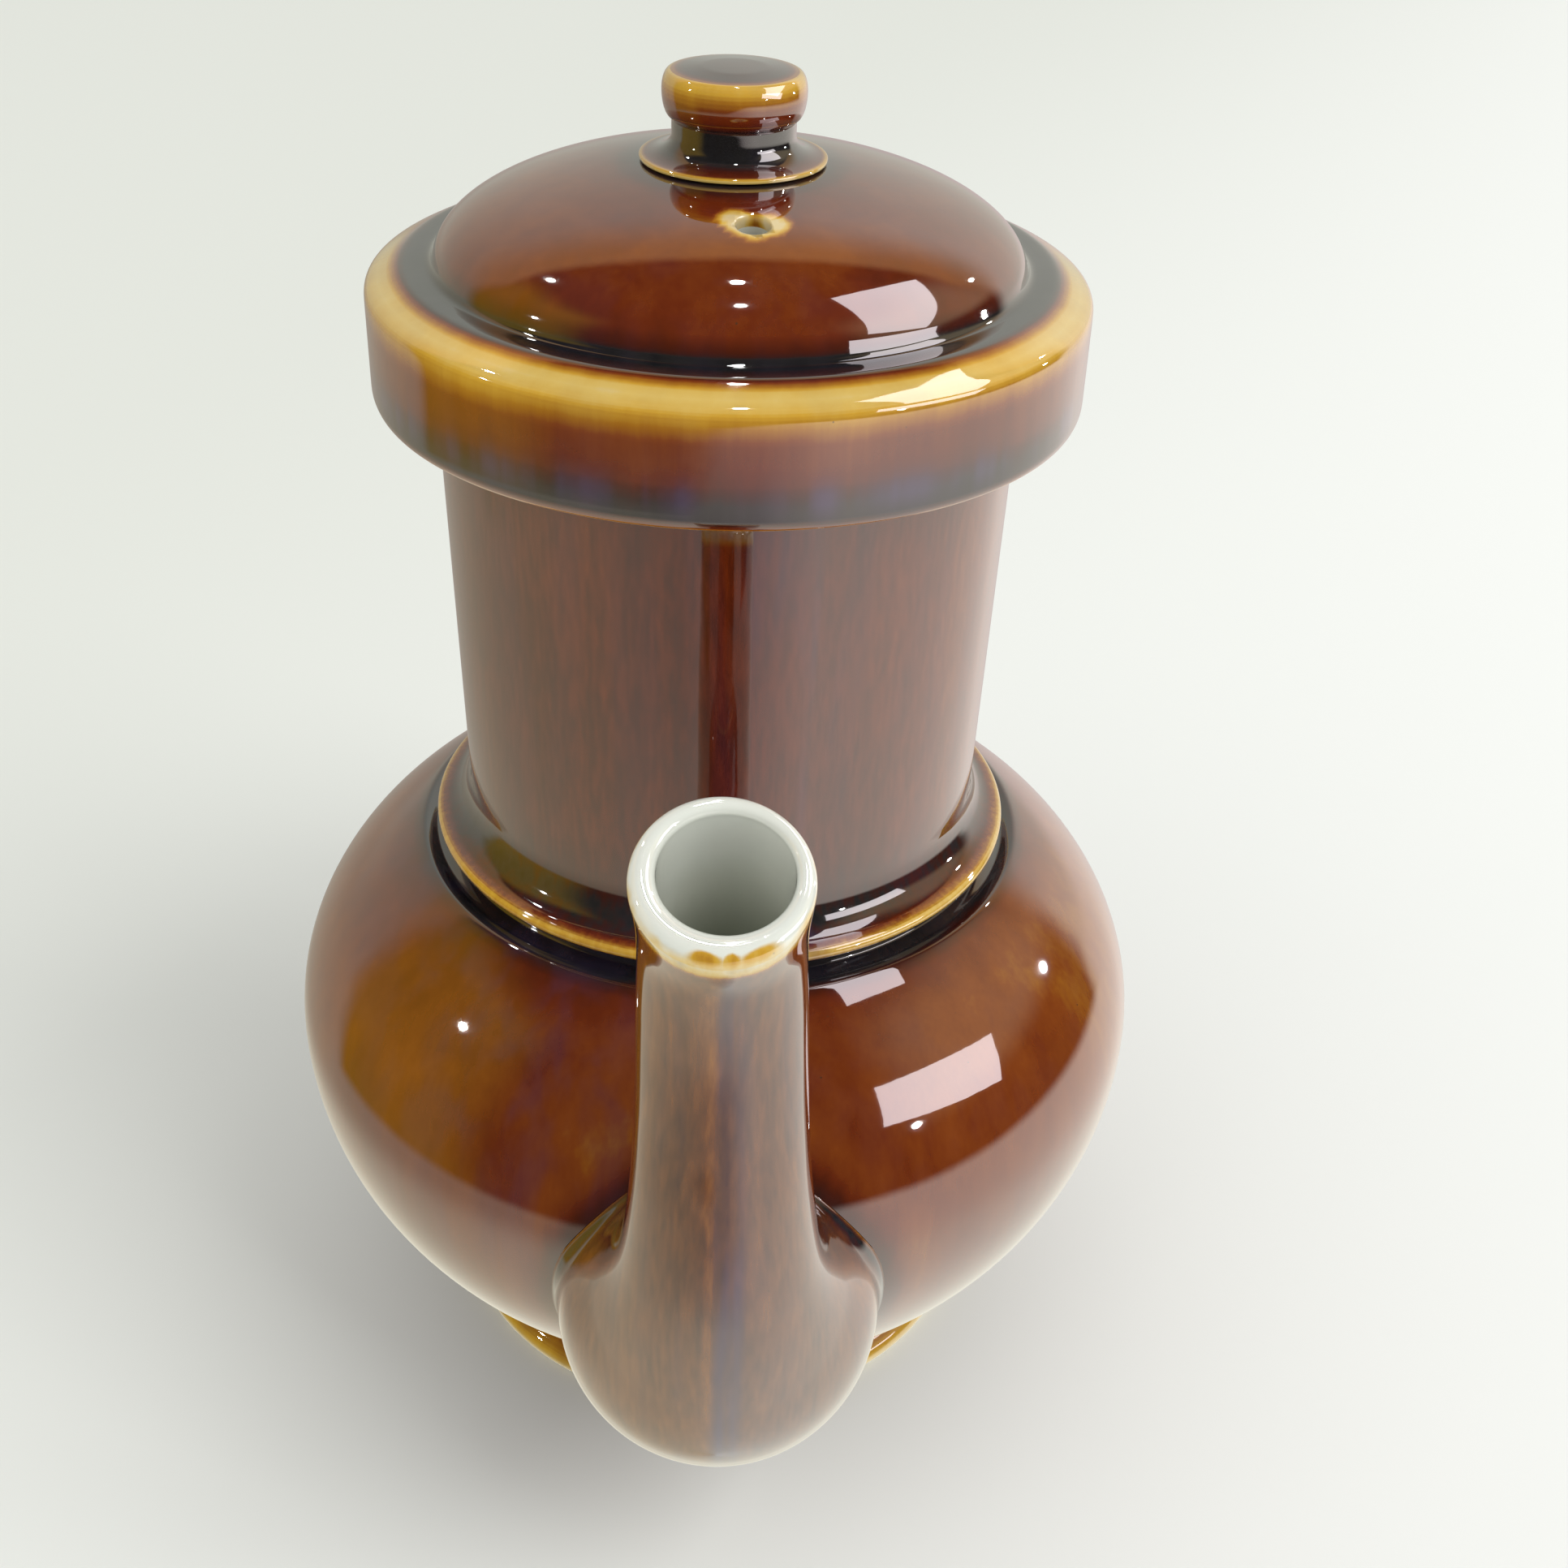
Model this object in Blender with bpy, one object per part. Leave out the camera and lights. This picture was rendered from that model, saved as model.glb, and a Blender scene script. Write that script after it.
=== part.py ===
"""Two-storey drip coffee pot in glazed porcelain, built piece by piece.

The pot stands on its foot ring with its axis on Z. Its spout points to -Y
and its handle to +Y. A drip chamber stands in the pot's mouth, a pierced
water spreader hangs in the chamber's mouth, and a cap-like lid covers both.
Spout, handle, knobs and sieve are separate clay members, stuck on with slip,
so each one is a solid of its own. All lengths are in metres.
"""

import math

import bmesh
import bpy
from mathutils import Matrix, Vector

# Clearances and fineness
GAP = 0.0003
OVERRUN = 0.0040
MERGE = 0.00001
TURN_STEPS = 36
KNOB_STEPS = 24
TUBE_STEPS = 24
HANDLE_STEPS = 16
HOLE_STEPS = 8
ARC_STEPS = 4
SHARP_ANGLE = math.radians(50.0)

# Pot: two half ellipses make the belly, a flared ring the foot
BELLY_RADIUS = 0.0766
BELLY_MIDDLE = 0.0640
BELLY_FALL = 0.0655
BELLY_RISE = 0.0515
BELLY_STEPS = 8
POT_WALL = 0.0042
SHOULDER_WALL = 0.0060
POT_FLOOR = 0.0052
FOOT_HEIGHT = 0.0115
FOOT_FLARE = 0.0044
FOOT_EDGE = 0.0016
FOOT_FACE_WIDTH = 0.0052
FOOT_RECESS = 0.0030

# Mouth of the pot, which the drip chamber stands in
MOUTH_RADIUS = 0.0436
NECK_WALL = 0.0040
NECK_HEIGHT = 0.0021
GROOVE_WIDTH = 0.0050
GROOVE_DEPTH = 0.0008
RIM_ROUND = 0.0008

# Spout, with the mouth tilted forward and a swollen root
SPOUT_STANDOFF = 0.0273
SPOUT_ROOT_HEIGHT = 0.0540
SPOUT_ROOT_RADIUS = 0.0260
SPOUT_TUBE_RADIUS = 0.0118
SPOUT_TIP_HEIGHT = 0.1519
SPOUT_LIP_RADIUS = 0.0121
SPOUT_LIP_TILT = math.radians(60.8)
SPOUT_WALL = 0.0026
SPOUT_RINGS = 25
STRAINER_HOLE_RADIUS = 0.0028
STRAINER_PITCH = 0.0090

# Handle, an ear that stands off the belly as far as the spout's swollen root
HANDLE_STANDOFF = 0.0274
HANDLE_TOP = 0.1120
HANDLE_LOW = 0.0330
HANDLE_WIDTH = 0.0170
HANDLE_THICKNESS = 0.0096
HANDLE_RINGS = 25

# Drip chamber: tapered cylinder with a foot flange and a hidden rim
SPIGOT_CLEARANCE = 0.0010
SPIGOT_DEPTH = 0.0135
FLANGE_OVERHANG = 0.0025
FLANGE_THICKNESS = 0.0022
CHAMBER_INSET = 0.0062
CHAMBER_SPREAD = 0.0018
CHAMBER_HEIGHT = 0.0923
CHAMBER_FLARE = 0.0065
CHAMBER_WALL = 0.0038
CHAMBER_RIM_HEIGHT = 0.0140
CHAMBER_RIM_FLARE = 0.0045
CHAMBER_RIM_ROUND = 0.0012
REBATE_WIDTH = 0.0050
SIEVE_LIP = 0.0030
SIEVE_LIP_HEIGHT = 0.0022

# Sieve at the chamber's foot
SIEVE_THICKNESS = 0.0030
SIEVE_HOLE_RADIUS = 0.0014
SIEVE_HOLE_PITCH = 0.0100
SIEVE_MARGIN = 0.0060

# Water spreader: a dish that hangs by its rim, with a small knob to lift it by
SPREADER_DEPTH = 0.0210
SPREADER_WALL = 0.0028
SPREADER_CLEARANCE = 0.0008
SPREADER_TAPER = 0.0030
SPREADER_CORNER = 0.0050
SPREADER_RIM = 0.0024
SPREADER_HOLE_RADIUS = 0.0013
SPREADER_HOLE_PITCH = 0.0092
SPREADER_MARGIN = 0.0020
SPREADER_KNOB_RADIUS = 0.0080
SPREADER_KNOB_NECK = 0.0042
SPREADER_KNOB_HEIGHT = 0.0160

# Lid: a dome on a ledge that rolls over into a skirt round the chamber
LID_CLEARANCE = 0.00075
SKIRT_WALL = 0.00425
SKIRT_DROP = 0.0162
SKIRT_TUCK = 0.0005
SKIRT_EASE = 0.0012
LEDGE_THICKNESS = 0.0036
LEDGE_WIDTH = 0.0103
CREST_WIDTH = 0.0056
CREST_FALL = 0.0040
CREST_ROUND = 0.0020
CREST_SLOPE = math.radians(26.0)
DOME_HEIGHT = 0.0153
DOME_WALL = 0.0040
DOME_STEPS = 8
LEDGE_ROUND = 0.0010
VENT_RADIUS = 0.0025
VENT_PLACE = 0.0250
VENT_TURN = math.radians(5.8)

# Lid knob, whose foot spreads into a thin disc on the dome
KNOB_DISC_RADIUS = 0.0140
KNOB_DISC_EDGE = 0.0007
KNOB_NECK_RADIUS = 0.0092
KNOB_HEAD_RADIUS = 0.01065
KNOB_TOP_RADIUS = 0.0095
KNOB_HEIGHT = 0.0125
KNOB_CROWN = 0.0006
KNOB_SWEEP_SHARE = 0.24
KNOB_HEAD_FOOT_SHARE = 0.42
KNOB_WIDEST_SHARE = 0.73
KNOB_UNDERSIDE_SHARES = (0, 0.35, 0.7, 1)

# Shares of the spout: outward from the belly to the lip, up from the root to the
# tip, and the swelling from the tube's radius to the root's
SPOUT_STATION_SHARES = (
    (-0.63, 0.000, 0.93),
    (-0.21, 0.000, 1.00),
    (0.10, 0.067, 0.91),
    (0.35, 0.181, 0.52),
    (0.49, 0.302, 0.235),
    (0.51, 0.450, 0.09),
    (0.46, 0.591, 0.03),
    (0.43, 0.745, 0.00),
    (0.48, 0.889, -0.03),
)

# Shares of the handle: outward from the belly to its back, up from the low root
# to the top, then its width and its thickness there
HANDLE_STATION_SHARES = (
    (-0.77, 0.69, 1.25, 1.50),
    (-0.31, 0.80, 1.12, 1.25),
    (0.16, 0.94, 1.04, 1.08),
    (0.60, 1.00, 1.00, 1.00),
    (0.92, 0.94, 1.00, 1.00),
    (1.00, 0.80, 0.98, 1.00),
    (0.94, 0.58, 0.94, 0.96),
    (0.74, 0.36, 0.88, 0.92),
    (0.41, 0.16, 0.82, 0.88),
    (-0.03, 0.04, 0.84, 0.95),
    (-0.80, -0.01, 0.95, 1.20),
)
HANDLE_SQUARENESS = 0.80


def clear_scene():
    """Remove every object, so the script runs the same from any file."""
    for old in list(bpy.data.objects):
        bpy.data.objects.remove(old, do_unlink=True)


def glaze(name, colour, roughness):
    """Plain glazed ceramic: colour, roughness and no metal."""
    material = bpy.data.materials.new(name)
    material.use_nodes = True
    shader = material.node_tree.nodes["Principled BSDF"]
    shader.inputs["Base Color"].default_value = (*colour, 1.0)
    shader.inputs["Roughness"].default_value = roughness
    shader.inputs["Metallic"].default_value = 0.0
    material.diffuse_color = (*colour, 1.0)
    return material


def arc(centre, radii, first, last, steps=ARC_STEPS):
    """Points (radius, height) on an elliptical arc, angles in degrees."""
    points = []
    for step in range(steps + 1):
        angle = math.radians(first + (last - first) * step / steps)
        points.append(
            (
                centre[0] + radii[0] * math.cos(angle),
                centre[1] + radii[1] * math.sin(angle),
            )
        )
    return points


def smooth_path(stations, count):
    """Catmull-Rom curve through the stations, as count evenly stepped points.

    A station may hold any number of values, such as a place and a radius.
    """
    ends = [stations[0], *stations, stations[-1]]
    spans = len(stations) - 1
    path = []
    for index in range(count):
        place = spans * index / (count - 1)
        span = min(int(place), spans - 1)
        t = place - span
        before, here, there, after = ends[span : span + 4]
        path.append(
            tuple(
                0.5
                * (
                    2 * b
                    + (c - a) * t
                    + (2 * a - 5 * b + 4 * c - d) * t**2
                    + (3 * b - a - 3 * c + d) * t**3
                )
                for a, b, c, d in zip(before, here, there, after)
            )
        )
    return path


def new_object(name, mesh, material):
    """Link a smooth-shaded object that holds the mesh."""
    mesh.materials.append(material)
    mesh.shade_smooth()
    mesh.set_sharp_from_angle(angle=SHARP_ANGLE)
    made = bpy.data.objects.new(name, mesh)
    bpy.context.scene.collection.objects.link(made)
    return made


def turned(name, outline, material, steps=TURN_STEPS):
    """Spin a closed outline of (radius, height) points about the Z axis."""
    shape = bmesh.new()
    points = [shape.verts.new((radius, 0, height)) for radius, height in outline]
    edges = []
    for start, end in zip(points, points[1:] + points[:1]):
        if max(start.co.x, end.co.x) > MERGE:
            edges.append(shape.edges.new((start, end)))
    bmesh.ops.spin(
        shape,
        geom=points + edges,
        cent=(0, 0, 0),
        axis=(0, 0, 1),
        dvec=(0, 0, 0),
        angle=math.tau,
        steps=steps,
        use_merge=True,
    )
    bmesh.ops.remove_doubles(shape, verts=shape.verts[:], dist=MERGE)
    bmesh.ops.recalc_face_normals(shape, faces=shape.faces[:])
    mesh = bpy.data.meshes.new(name)
    shape.to_mesh(mesh)
    shape.free()
    return new_object(name, mesh, material)


def lofted(name, rings, material, joined):
    """Skin a row of rings with the same number of points each.

    A joined loft runs from the last ring back to the first, as a tube wall
    does; otherwise the first and the last ring are capped.
    """
    shape = bmesh.new()
    rows = [[shape.verts.new(point) for point in ring] for ring in rings]
    pairs = list(zip(rows, rows[1:]))
    if joined:
        pairs.append((rows[-1], rows[0]))
    for low, high in pairs:
        for index, start in enumerate(low):
            after = (index + 1) % len(low)
            shape.faces.new((start, low[after], high[after], high[index]))
    if not joined:
        shape.faces.new(rows[0])
        shape.faces.new(rows[-1])
    bmesh.ops.recalc_face_normals(shape, faces=shape.faces[:])
    mesh = bpy.data.meshes.new(name)
    shape.to_mesh(mesh)
    shape.free()
    return new_object(name, mesh, material)


def pins(name, places, radius, length, material, turn=Matrix()):
    """One guide object that holds a round pin, centred, at each place."""
    shape = bmesh.new()
    for place in places:
        bmesh.ops.create_cone(
            shape,
            cap_ends=True,
            segments=HOLE_STEPS,
            radius1=radius,
            radius2=radius,
            depth=length,
            matrix=Matrix.Translation(place) @ turn,
        )
    mesh = bpy.data.meshes.new(name)
    shape.to_mesh(mesh)
    shape.free()
    return as_guide(new_object(name, mesh, material))


def as_guide(shape):
    """Keep a cutter out of the render."""
    shape.hide_render = True
    shape.display_type = "WIRE"
    return shape


def cut(piece, guide):
    """Take the guide's shape out of the piece."""
    difference = piece.modifiers.new(guide.name, "BOOLEAN")
    difference.operation = "DIFFERENCE"
    difference.solver = "EXACT"
    difference.object = guide


def hole_rings(pitch, first, last):
    """Places (x, y) on rings, with six more holes on each ring outwards."""
    places = [] if first else [(0, 0)]
    for ring in range(max(first, 1), last + 1):
        for index in range(6 * ring):
            angle = math.tau * index / (6 * ring)
            radius = pitch * ring
            places.append((radius * math.cos(angle), radius * math.sin(angle)))
    return places


def belly_radius_at(height):
    """Outer radius of the belly at a height."""
    reach = BELLY_RISE if height > BELLY_MIDDLE else BELLY_FALL
    share = (height - BELLY_MIDDLE) / reach
    return BELLY_RADIUS * math.sqrt(max(0, 1 - share**2))


def belly_height_above(radius):
    """Height at which the upper half of the belly has a radius."""
    return BELLY_MIDDLE + BELLY_RISE * math.sqrt(1 - (radius / BELLY_RADIUS) ** 2)


def dome_height_at(radius):
    """Height of the lid's dome at a radius."""
    return LEDGE_TOP + DOME_HEIGHT * math.sqrt(1 - (radius / DOME_RADIUS) ** 2)


# Levels and radii that follow from the sizes above
NECK_RADIUS = MOUTH_RADIUS + NECK_WALL
SHOULDER_RADIUS = NECK_RADIUS + GROOVE_WIDTH
SHOULDER_HEIGHT = belly_height_above(SHOULDER_RADIUS)
POT_HEIGHT = SHOULDER_HEIGHT + NECK_HEIGHT
FOOT_WAIST = belly_radius_at(FOOT_HEIGHT)
FOOT_RADIUS = FOOT_WAIST + FOOT_FLARE
FLANGE_RADIUS = NECK_RADIUS + FLANGE_OVERHANG
FLANGE_FOOT = POT_HEIGHT + GAP
FLANGE_TOP = FLANGE_FOOT + FLANGE_THICKNESS
CHAMBER_FOOT_RADIUS = FLANGE_RADIUS - CHAMBER_INSET
CHAMBER_TOP_RADIUS = CHAMBER_FOOT_RADIUS + CHAMBER_SPREAD
SPIGOT_RADIUS = MOUTH_RADIUS - SPIGOT_CLEARANCE
SPIGOT_FOOT = FLANGE_FOOT - SPIGOT_DEPTH
SPIGOT_BORE = SPIGOT_RADIUS - CHAMBER_WALL
CHAMBER_RIM = FLANGE_TOP + CHAMBER_HEIGHT
CHAMBER_BORE = CHAMBER_TOP_RADIUS - CHAMBER_WALL
RIM_RADIUS = CHAMBER_TOP_RADIUS + CHAMBER_RIM_FLARE
REBATE_RADIUS = CHAMBER_BORE + REBATE_WIDTH
REBATE_FLOOR = CHAMBER_RIM - SPREADER_RIM - 2 * GAP
DISH_SEAT = REBATE_FLOOR + GAP
DISH_FLOOR = DISH_SEAT - SPREADER_DEPTH + SPREADER_WALL
LID_SEAT = CHAMBER_RIM + GAP
LEDGE_TOP = LID_SEAT + LEDGE_THICKNESS
SKIRT_BORE = RIM_RADIUS + LID_CLEARANCE
SKIRT_RADIUS = SKIRT_BORE + SKIRT_WALL
SKIRT_FOOT = LID_SEAT - SKIRT_DROP
DOME_RADIUS = SKIRT_RADIUS - LEDGE_WIDTH
DISC_SEAT = dome_height_at(KNOB_DISC_RADIUS) + GAP
DISC_TOP = DISC_SEAT + KNOB_DISC_EDGE


def belly_guide(name, material):
    """The belly's outside and the clearance around it, as a cutter."""
    radius = BELLY_RADIUS + GAP
    middle = (0, BELLY_MIDDLE)
    outline = [(0, BELLY_MIDDLE - BELLY_FALL - GAP)]
    outline += arc(middle, (radius, BELLY_FALL + GAP), -80, 0, BELLY_STEPS)
    outline += arc(middle, (radius, BELLY_RISE + GAP), 0, 80, BELLY_STEPS)[1:]
    outline += [(0, BELLY_MIDDLE + BELLY_RISE + GAP)]
    return as_guide(turned(name, outline, material))


def degrees_of(height, reach):
    """Angle on a half-ellipse of the belly at which it has a height."""
    return math.degrees(math.asin((height - BELLY_MIDDLE) / reach))


def build_pot_body(material):
    """Belly, foot ring and neck, thrown in one, with strainer holes."""
    middle = (0, BELLY_MIDDLE)
    waist = degrees_of(FOOT_HEIGHT, BELLY_FALL)
    shoulder = degrees_of(SHOULDER_HEIGHT, BELLY_RISE)
    face = FOOT_RADIUS - FOOT_EDGE
    groove = (SHOULDER_RADIUS + NECK_RADIUS) / 2
    inner = BELLY_RADIUS - POT_WALL
    inner_rise = BELLY_RISE - SHOULDER_WALL
    inner_fall = BELLY_FALL - POT_WALL
    mouth_angle = math.degrees(math.acos(MOUTH_RADIUS / inner))
    floor = FOOT_RECESS + POT_FLOOR
    floor_angle = degrees_of(floor, inner_fall)

    outline = [(0, FOOT_RECESS), (face - FOOT_FACE_WIDTH - FOOT_RECESS / 2, FOOT_RECESS)]
    outline += [(face - FOOT_FACE_WIDTH, 0)]
    outline += arc((face, FOOT_EDGE), (FOOT_EDGE, FOOT_EDGE), -90, 0, 3)
    flare = (FOOT_RADIUS, FOOT_HEIGHT)
    outline += arc(flare, (FOOT_FLARE, FOOT_HEIGHT - 2 * FOOT_EDGE), 260, 180)
    outline += arc(middle, (BELLY_RADIUS, BELLY_FALL), waist, 0, BELLY_STEPS)[1:]
    outline += arc(middle, (BELLY_RADIUS, BELLY_RISE), 0, shoulder, BELLY_STEPS)[1:]
    outline += [(groove, SHOULDER_HEIGHT - GROOVE_DEPTH)]
    outline += [(NECK_RADIUS, SHOULDER_HEIGHT)]
    outline += [(NECK_RADIUS, POT_HEIGHT - RIM_ROUND)]
    outline += [(NECK_RADIUS - RIM_ROUND, POT_HEIGHT)]
    outline += [(MOUTH_RADIUS + RIM_ROUND, POT_HEIGHT)]
    outline += [(MOUTH_RADIUS, POT_HEIGHT - RIM_ROUND)]
    outline += arc(middle, (inner, inner_rise), mouth_angle, 0, BELLY_STEPS)
    outline += arc(middle, (inner, inner_fall), 0, floor_angle, BELLY_STEPS)[1:]
    outline += [(0, floor)]
    pot = turned("pot_body", outline, material)

    places = [
        (x, -belly_radius_at(SPOUT_ROOT_HEIGHT), SPOUT_ROOT_HEIGHT + z)
        for x, z in hole_rings(STRAINER_PITCH, 0, 1)
    ]
    along_y = Matrix.Rotation(math.pi / 2, 4, "X")
    depth = 2 * POT_WALL + 2 * OVERRUN
    cut(pot, pins("strainer_guide", places, STRAINER_HOLE_RADIUS, depth, material, along_y))
    return pot


def ring_about(centre, normal, radius):
    """Circle of points about a centre in the YZ plane, square to a normal."""
    side = Vector((1, 0, 0))
    up = normal.cross(side)
    points = []
    for step in range(TUBE_STEPS):
        angle = math.tau * step / TUBE_STEPS
        points.append(centre + radius * (math.cos(angle) * side + math.sin(angle) * up))
    return points


def tangents(centres):
    """Unit direction of a path at each of its points."""
    pairs = zip([centres[0], *centres[:-1]], [*centres[1:], centres[-1]])
    return [(after - before).normalized() for before, after in pairs]


def build_spout(material):
    """Hollow S-shaped spout whose swollen root hugs the belly."""
    belly = belly_radius_at(SPOUT_ROOT_HEIGHT)
    rise = SPOUT_TIP_HEIGHT - SPOUT_ROOT_HEIGHT
    swell = SPOUT_ROOT_RADIUS - SPOUT_TUBE_RADIUS
    stations = [
        (
            -belly - out * SPOUT_STANDOFF,
            SPOUT_ROOT_HEIGHT + up * rise,
            SPOUT_TUBE_RADIUS + wide * swell,
        )
        for out, up, wide in SPOUT_STATION_SHARES
    ]
    setback = SPOUT_LIP_RADIUS * math.sin(SPOUT_LIP_TILT)
    stations.append((setback - belly - SPOUT_STANDOFF, SPOUT_TIP_HEIGHT, SPOUT_LIP_RADIUS))
    path = smooth_path(stations, SPOUT_RINGS)
    centres = [Vector((0, y, z)) for y, z, _ in path]
    radii = [radius for _, _, radius in path]
    normals = tangents(centres)
    mouth = Vector((0, -math.cos(SPOUT_LIP_TILT), math.sin(SPOUT_LIP_TILT)))
    normals[-1] = mouth
    normals[-2] = (normals[-2] + mouth).normalized()

    outside = [ring_about(*ring) for ring in zip(centres, normals, radii)]
    inside = [
        ring_about(centre, normal, radius - SPOUT_WALL)
        for centre, normal, radius in zip(centres, normals, radii)
    ]
    half = SPOUT_WALL / 2
    lip = [
        ring_about(centres[-1] + mouth * rise_by, mouth, radius)
        for radius, rise_by in arc((SPOUT_LIP_RADIUS - half, 0), (half, half), 0, 180)
    ]
    spout = lofted("spout", outside[:-1] + lip + inside[-2::-1], material, True)
    cut(spout, belly_guide("spout_root_guide", material))
    return spout


def build_handle(material):
    """Ear handle of oval section, tapering to its low root."""
    reach = HANDLE_STANDOFF - HANDLE_THICKNESS / 2
    rise = HANDLE_TOP - HANDLE_THICKNESS / 2 - HANDLE_LOW
    stations = [
        (
            BELLY_RADIUS + out * reach,
            HANDLE_LOW + up * rise,
            HANDLE_WIDTH * width / 2,
            HANDLE_THICKNESS * thickness / 2,
        )
        for out, up, width, thickness in HANDLE_STATION_SHARES
    ]
    path = smooth_path(stations, HANDLE_RINGS)
    centres = [Vector((0, y, z)) for y, z, _, _ in path]
    rings = []
    for (_, _, width, thickness), centre, normal in zip(path, centres, tangents(centres)):
        up = normal.cross(Vector((1, 0, 0)))
        ring = []
        for step in range(HANDLE_STEPS):
            angle = math.tau * step / HANDLE_STEPS
            across = math.copysign(abs(math.cos(angle)) ** HANDLE_SQUARENESS, math.cos(angle))
            over = math.copysign(abs(math.sin(angle)) ** HANDLE_SQUARENESS, math.sin(angle))
            ring.append(centre + Vector((width * across, 0, 0)) + up * (thickness * over))
        rings.append(ring)
    handle = lofted("handle", rings, material, False)
    cut(handle, belly_guide("handle_root_guide", material))
    return handle


def build_chamber(material):
    """Drip chamber: spigot, foot flange, tapered wall and hidden rim."""
    wall_foot = FLANGE_TOP + CHAMBER_FLARE
    rim_foot = CHAMBER_RIM - CHAMBER_RIM_HEIGHT
    half = FLANGE_THICKNESS / 2
    flare = FLANGE_RADIUS - half - CHAMBER_FOOT_RADIUS
    edge = (FLANGE_RADIUS - half, FLANGE_FOOT + half)
    outline = [(SPIGOT_BORE - SIEVE_LIP, SPIGOT_FOOT), (SPIGOT_RADIUS - RIM_ROUND, SPIGOT_FOOT)]
    outline += [(SPIGOT_RADIUS, SPIGOT_FOOT + RIM_ROUND), (SPIGOT_RADIUS, FLANGE_FOOT)]
    outline += arc(edge, (half, half), -90, 90, 4)
    centre = (FLANGE_RADIUS - half, wall_foot)
    outline += arc(centre, (flare, CHAMBER_FLARE), 270, 180)[1:]
    outline += [(CHAMBER_TOP_RADIUS, rim_foot)]
    bend = CHAMBER_RIM_HEIGHT / 2
    outline += arc((RIM_RADIUS, rim_foot), (CHAMBER_RIM_FLARE, bend), 180, 90, 3)[1:]
    corner = (RIM_RADIUS - CHAMBER_RIM_ROUND, CHAMBER_RIM - CHAMBER_RIM_ROUND)
    outline += arc(corner, (CHAMBER_RIM_ROUND, CHAMBER_RIM_ROUND), 0, 90, 3)
    outline += [(REBATE_RADIUS, CHAMBER_RIM), (REBATE_RADIUS, REBATE_FLOOR)]
    outline += [(CHAMBER_BORE, REBATE_FLOOR), (CHAMBER_FOOT_RADIUS - CHAMBER_WALL, wall_foot)]
    outline += [(SPIGOT_BORE, FLANGE_FOOT), (SPIGOT_BORE, SPIGOT_FOOT + SIEVE_LIP_HEIGHT)]
    outline += [(SPIGOT_BORE - SIEVE_LIP, SPIGOT_FOOT + SIEVE_LIP_HEIGHT)]
    return turned("filter_chamber", outline, material)


def build_sieve(material):
    """Pierced disc that sits on the lip inside the chamber's spigot."""
    low = SPIGOT_FOOT + SIEVE_LIP_HEIGHT + GAP
    radius = SPIGOT_BORE - GAP
    outline = [(0, low), (radius, low), (radius, low + SIEVE_THICKNESS)]
    outline += [(0, low + SIEVE_THICKNESS)]
    sieve = turned("filter_sieve", outline, material)
    middle = low + SIEVE_THICKNESS / 2
    rings = int((radius - SIEVE_MARGIN) / SIEVE_HOLE_PITCH)
    places = [(x, y, middle) for x, y in hole_rings(SIEVE_HOLE_PITCH, 0, rings)]
    length = SIEVE_THICKNESS + 2 * OVERRUN
    cut(sieve, pins("sieve_guide", places, SIEVE_HOLE_RADIUS, length, material))
    return sieve


def build_spreader(material):
    """Dish with a pierced floor that hangs in the rebate of the chamber."""
    rim = REBATE_RADIUS - SPREADER_CLEARANCE
    side = CHAMBER_BORE - SPREADER_CLEARANCE
    foot = side - SPREADER_TAPER
    low = DISH_FLOOR - SPREADER_WALL
    high = DISH_SEAT + SPREADER_RIM
    inner = foot - SPREADER_WALL
    corner = SPREADER_CORNER
    outline = [(0, low)]
    outline += arc((foot - corner, low + corner), (corner, corner), -90, 0, 4)
    outline += [(side, DISH_SEAT), (rim, DISH_SEAT), (rim, high)]
    outline += [(side - SPREADER_WALL, high)]
    round_in = corner - SPREADER_WALL / 2
    outline += arc((inner - round_in, DISH_FLOOR + round_in), (round_in, round_in), 0, -90, 3)
    outline += [(0, DISH_FLOOR)]
    spreader = turned("water_spreader", outline, material)
    middle = DISH_FLOOR - SPREADER_WALL / 2
    first = math.ceil((SPREADER_KNOB_RADIUS + SPREADER_MARGIN) / SPREADER_HOLE_PITCH)
    last = int((foot - corner - SPREADER_MARGIN) / SPREADER_HOLE_PITCH)
    places = [(x, y, middle) for x, y in hole_rings(SPREADER_HOLE_PITCH, first, last)]
    length = SPREADER_WALL + 2 * OVERRUN
    cut(spreader, pins("spreader_guide", places, SPREADER_HOLE_RADIUS, length, material))
    return spreader


def build_spreader_knob(material):
    """Small mushroom knob in the middle of the spreader's floor."""
    low = DISH_FLOOR + GAP
    top = low + SPREADER_KNOB_HEIGHT
    head = SPREADER_KNOB_HEIGHT / 4
    spread = SPREADER_KNOB_RADIUS - SPREADER_KNOB_NECK
    outline = [(0, low), (SPREADER_KNOB_RADIUS, low)]
    outline += arc((SPREADER_KNOB_RADIUS, low + head), (spread, head), 260, 180, 3)
    outline += arc((0, top - head), (SPREADER_KNOB_RADIUS, head), -40, 90, 6)
    return turned("spreader_knob", outline, material, KNOB_STEPS)


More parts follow.
